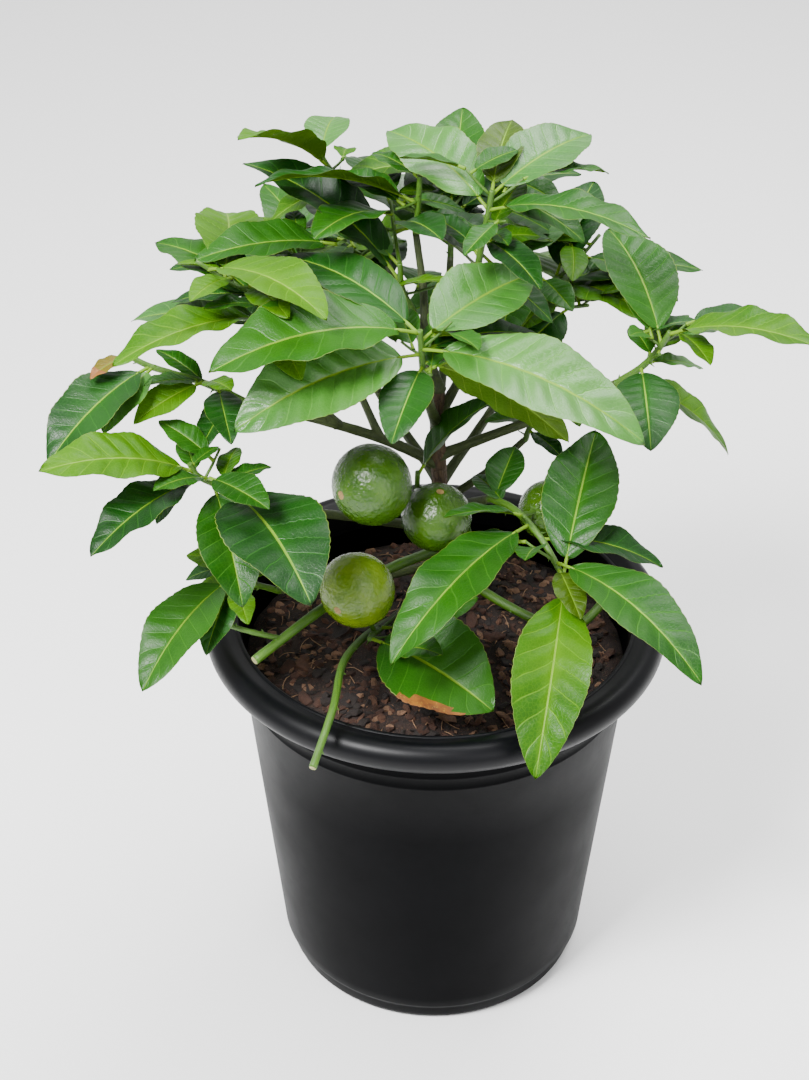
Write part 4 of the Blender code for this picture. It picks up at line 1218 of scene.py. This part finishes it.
def make_pot():
    """The turned pot, finely rounded, with its rolled rim, mould lines and stepped foot."""
    pattern = group("moulded_plastic", {"Light": COLOUR, "Dark": COLOUR, "Scuffs": VALUE},
                    {"Color": COLOUR, "Height": VALUE, "Roughness": VALUE}, pot_pattern)
    body_values = {"Light": (0.0005, 0.0006, 0.0010), "Dark": (0.0002, 0.0003, 0.0005), "Scuffs": 0.012}
    plastic = finish_with("black_plastic", pattern, body_values, 0.4, 0.12, 0.0003, Specular_IOR_Level=0.03)
    rim_values = {"Light": (0.0008, 0.0010, 0.0018), "Dark": (0.0004, 0.0005, 0.0010), "Scuffs": 0.012}
    polished = finish_with("rim_plastic", pattern, rim_values, 0.24, 0.08, 0.0002, Specular_IOR_Level=0.16)
    roll = RIM_ROLL / 2
    rim_middle = (RIM_RADIUS - roll, POT_HEIGHT - roll)
    under_rim = POT_HEIGHT - RIM_ROLL
    mouth = inner_radius(under_rim)

    def body(height):
        """Outer radius of the pot's wall at a height."""
        share = (height - FOOT_HEIGHT) / (under_rim - FOOT_HEIGHT)
        return BODY_FOOT_RADIUS + (BODY_TOP_RADIUS - BODY_FOOT_RADIUS) * share

    profile = [(0.0, POT_FLOOR), (inner_radius(POT_FLOOR) - 0.002, POT_FLOOR),
               (inner_radius(FOOT_HEIGHT), FOOT_HEIGHT), (inner_radius(0.12), 0.12), (mouth, under_rim),
               (mouth + 0.0008, POT_HEIGHT - 0.008), (mouth + 0.0015, POT_HEIGHT - 0.0042)]
    profile += arc((mouth + 0.0030, POT_HEIGHT - 0.0036), 0.0014, 165, 40, 4)
    profile += arc(rim_middle, roll, 118, -80, 26)
    profile += [(body(height), height) for height in (under_rim - 0.001, under_rim - 0.008)]
    for line in MOULD_LINES:
        profile += [(body(line + 0.0010), line + 0.0010), (body(line) + BEAD_PROUD, line + 0.0004),
                    (body(line) + BEAD_PROUD, line - 0.0004), (body(line - 0.0010), line - 0.0010)]
    profile += [(body(height), height) for height in (0.15, 0.11, 0.07, 0.035, 0.019)]
    profile += [(BODY_FOOT_RADIUS + 0.0002, FOOT_HEIGHT + 0.0015), (BODY_FOOT_RADIUS - 0.0006, FOOT_HEIGHT),
                (FOOT_RADIUS + 0.0003, FOOT_HEIGHT - 0.0016), (FOOT_RADIUS, FOOT_HEIGHT - 0.003),
                (FOOT_RADIUS - 0.0008, 0.004), (FOOT_RADIUS - 0.0016, 0.0018), (FOOT_RADIUS - 0.0034, 0.0003),
                (FOOT_RADIUS - 0.005, 0.0), (0.0, 0.0)]
    bm = bmesh.new()
    points = [bm.verts.new((radius, 0.0, height)) for radius, height in profile]
    edges = [bm.edges.new((a, b)) for a, b in zip(points, points[1:])]
    bmesh.ops.spin(bm, geom=[*points, *edges], cent=(0, 0, 0), axis=(0, 0, 1), dvec=(0, 0, 0), angle=tau,
                   steps=160, use_merge=True, use_duplicate=False)
    bmesh.ops.remove_doubles(bm, verts=bm.verts, dist=1e-6)
    bmesh.ops.recalc_face_normals(bm, faces=bm.faces)
    for face in bm.faces:
        face.smooth = True
        middle = face.calc_center_median()
        face.material_index = int(middle.z > under_rim - 0.0005 and middle.xy.length > mouth)
    made = piece_from("nursery_pot", bm, [plastic, polished], ["pot"])
    made.data.set_sharp_from_angle(angle=radians(50))


# Stage

def make_stage():
    """Pale floor, soft lights from above and the left, and the photograph's camera."""
    bm = bmesh.new()
    bmesh.ops.create_grid(bm, x_segments=1, y_segments=1, size=6.0)
    mesh = bpy.data.meshes.new("floor")
    bm.to_mesh(mesh)
    bm.free()
    pale = bpy.data.materials.new("pale_floor")
    pale.use_nodes = True
    shader = pale.node_tree.nodes["Principled BSDF"]
    shader.inputs["Base Color"].default_value = (0.90, 0.90, 0.90, 1.0)
    shader.inputs["Roughness"].default_value = 0.55
    mesh.materials.append(pale)
    floor = bpy.data.objects.new("floor", mesh)
    bpy.context.scene.collection.objects.link(floor)

    world = bpy.data.worlds.new("studio")
    bpy.context.scene.world = world
    world.use_nodes = True
    world.node_tree.nodes["Background"].inputs["Color"].default_value = (1.0, 1.0, 1.0, 1.0)
    world.node_tree.nodes["Background"].inputs["Strength"].default_value = 1.0
    for name, (place, size, power) in LAMPS.items():
        lamp = bpy.data.lights.new(name, "AREA")
        lamp.size = size
        lamp.energy = power
        light = bpy.data.objects.new(name, lamp)
        light.location = place
        light.rotation_euler = (LAMPS_AIM - Vector(place)).to_track_quat("-Z", "Y").to_euler()
        bpy.context.scene.collection.objects.link(light)

    camera = bpy.data.objects.new("camera", bpy.data.cameras.new("camera"))
    camera.location = CAMERA_PLACE
    camera.rotation_euler = (CAMERA_TILT, 0, CAMERA_TURN)
    camera.data.sensor_fit = "HORIZONTAL"
    camera.data.sensor_width = SENSOR
    camera.data.lens = CAMERA_LENS
    bpy.context.scene.collection.objects.link(camera)
    bpy.context.scene.camera = camera


make_stage()
green_bark = make_wood()
twig_mesh = make_foliage()
make_limes(twig_mesh, green_bark)
make_soil()
make_pot()
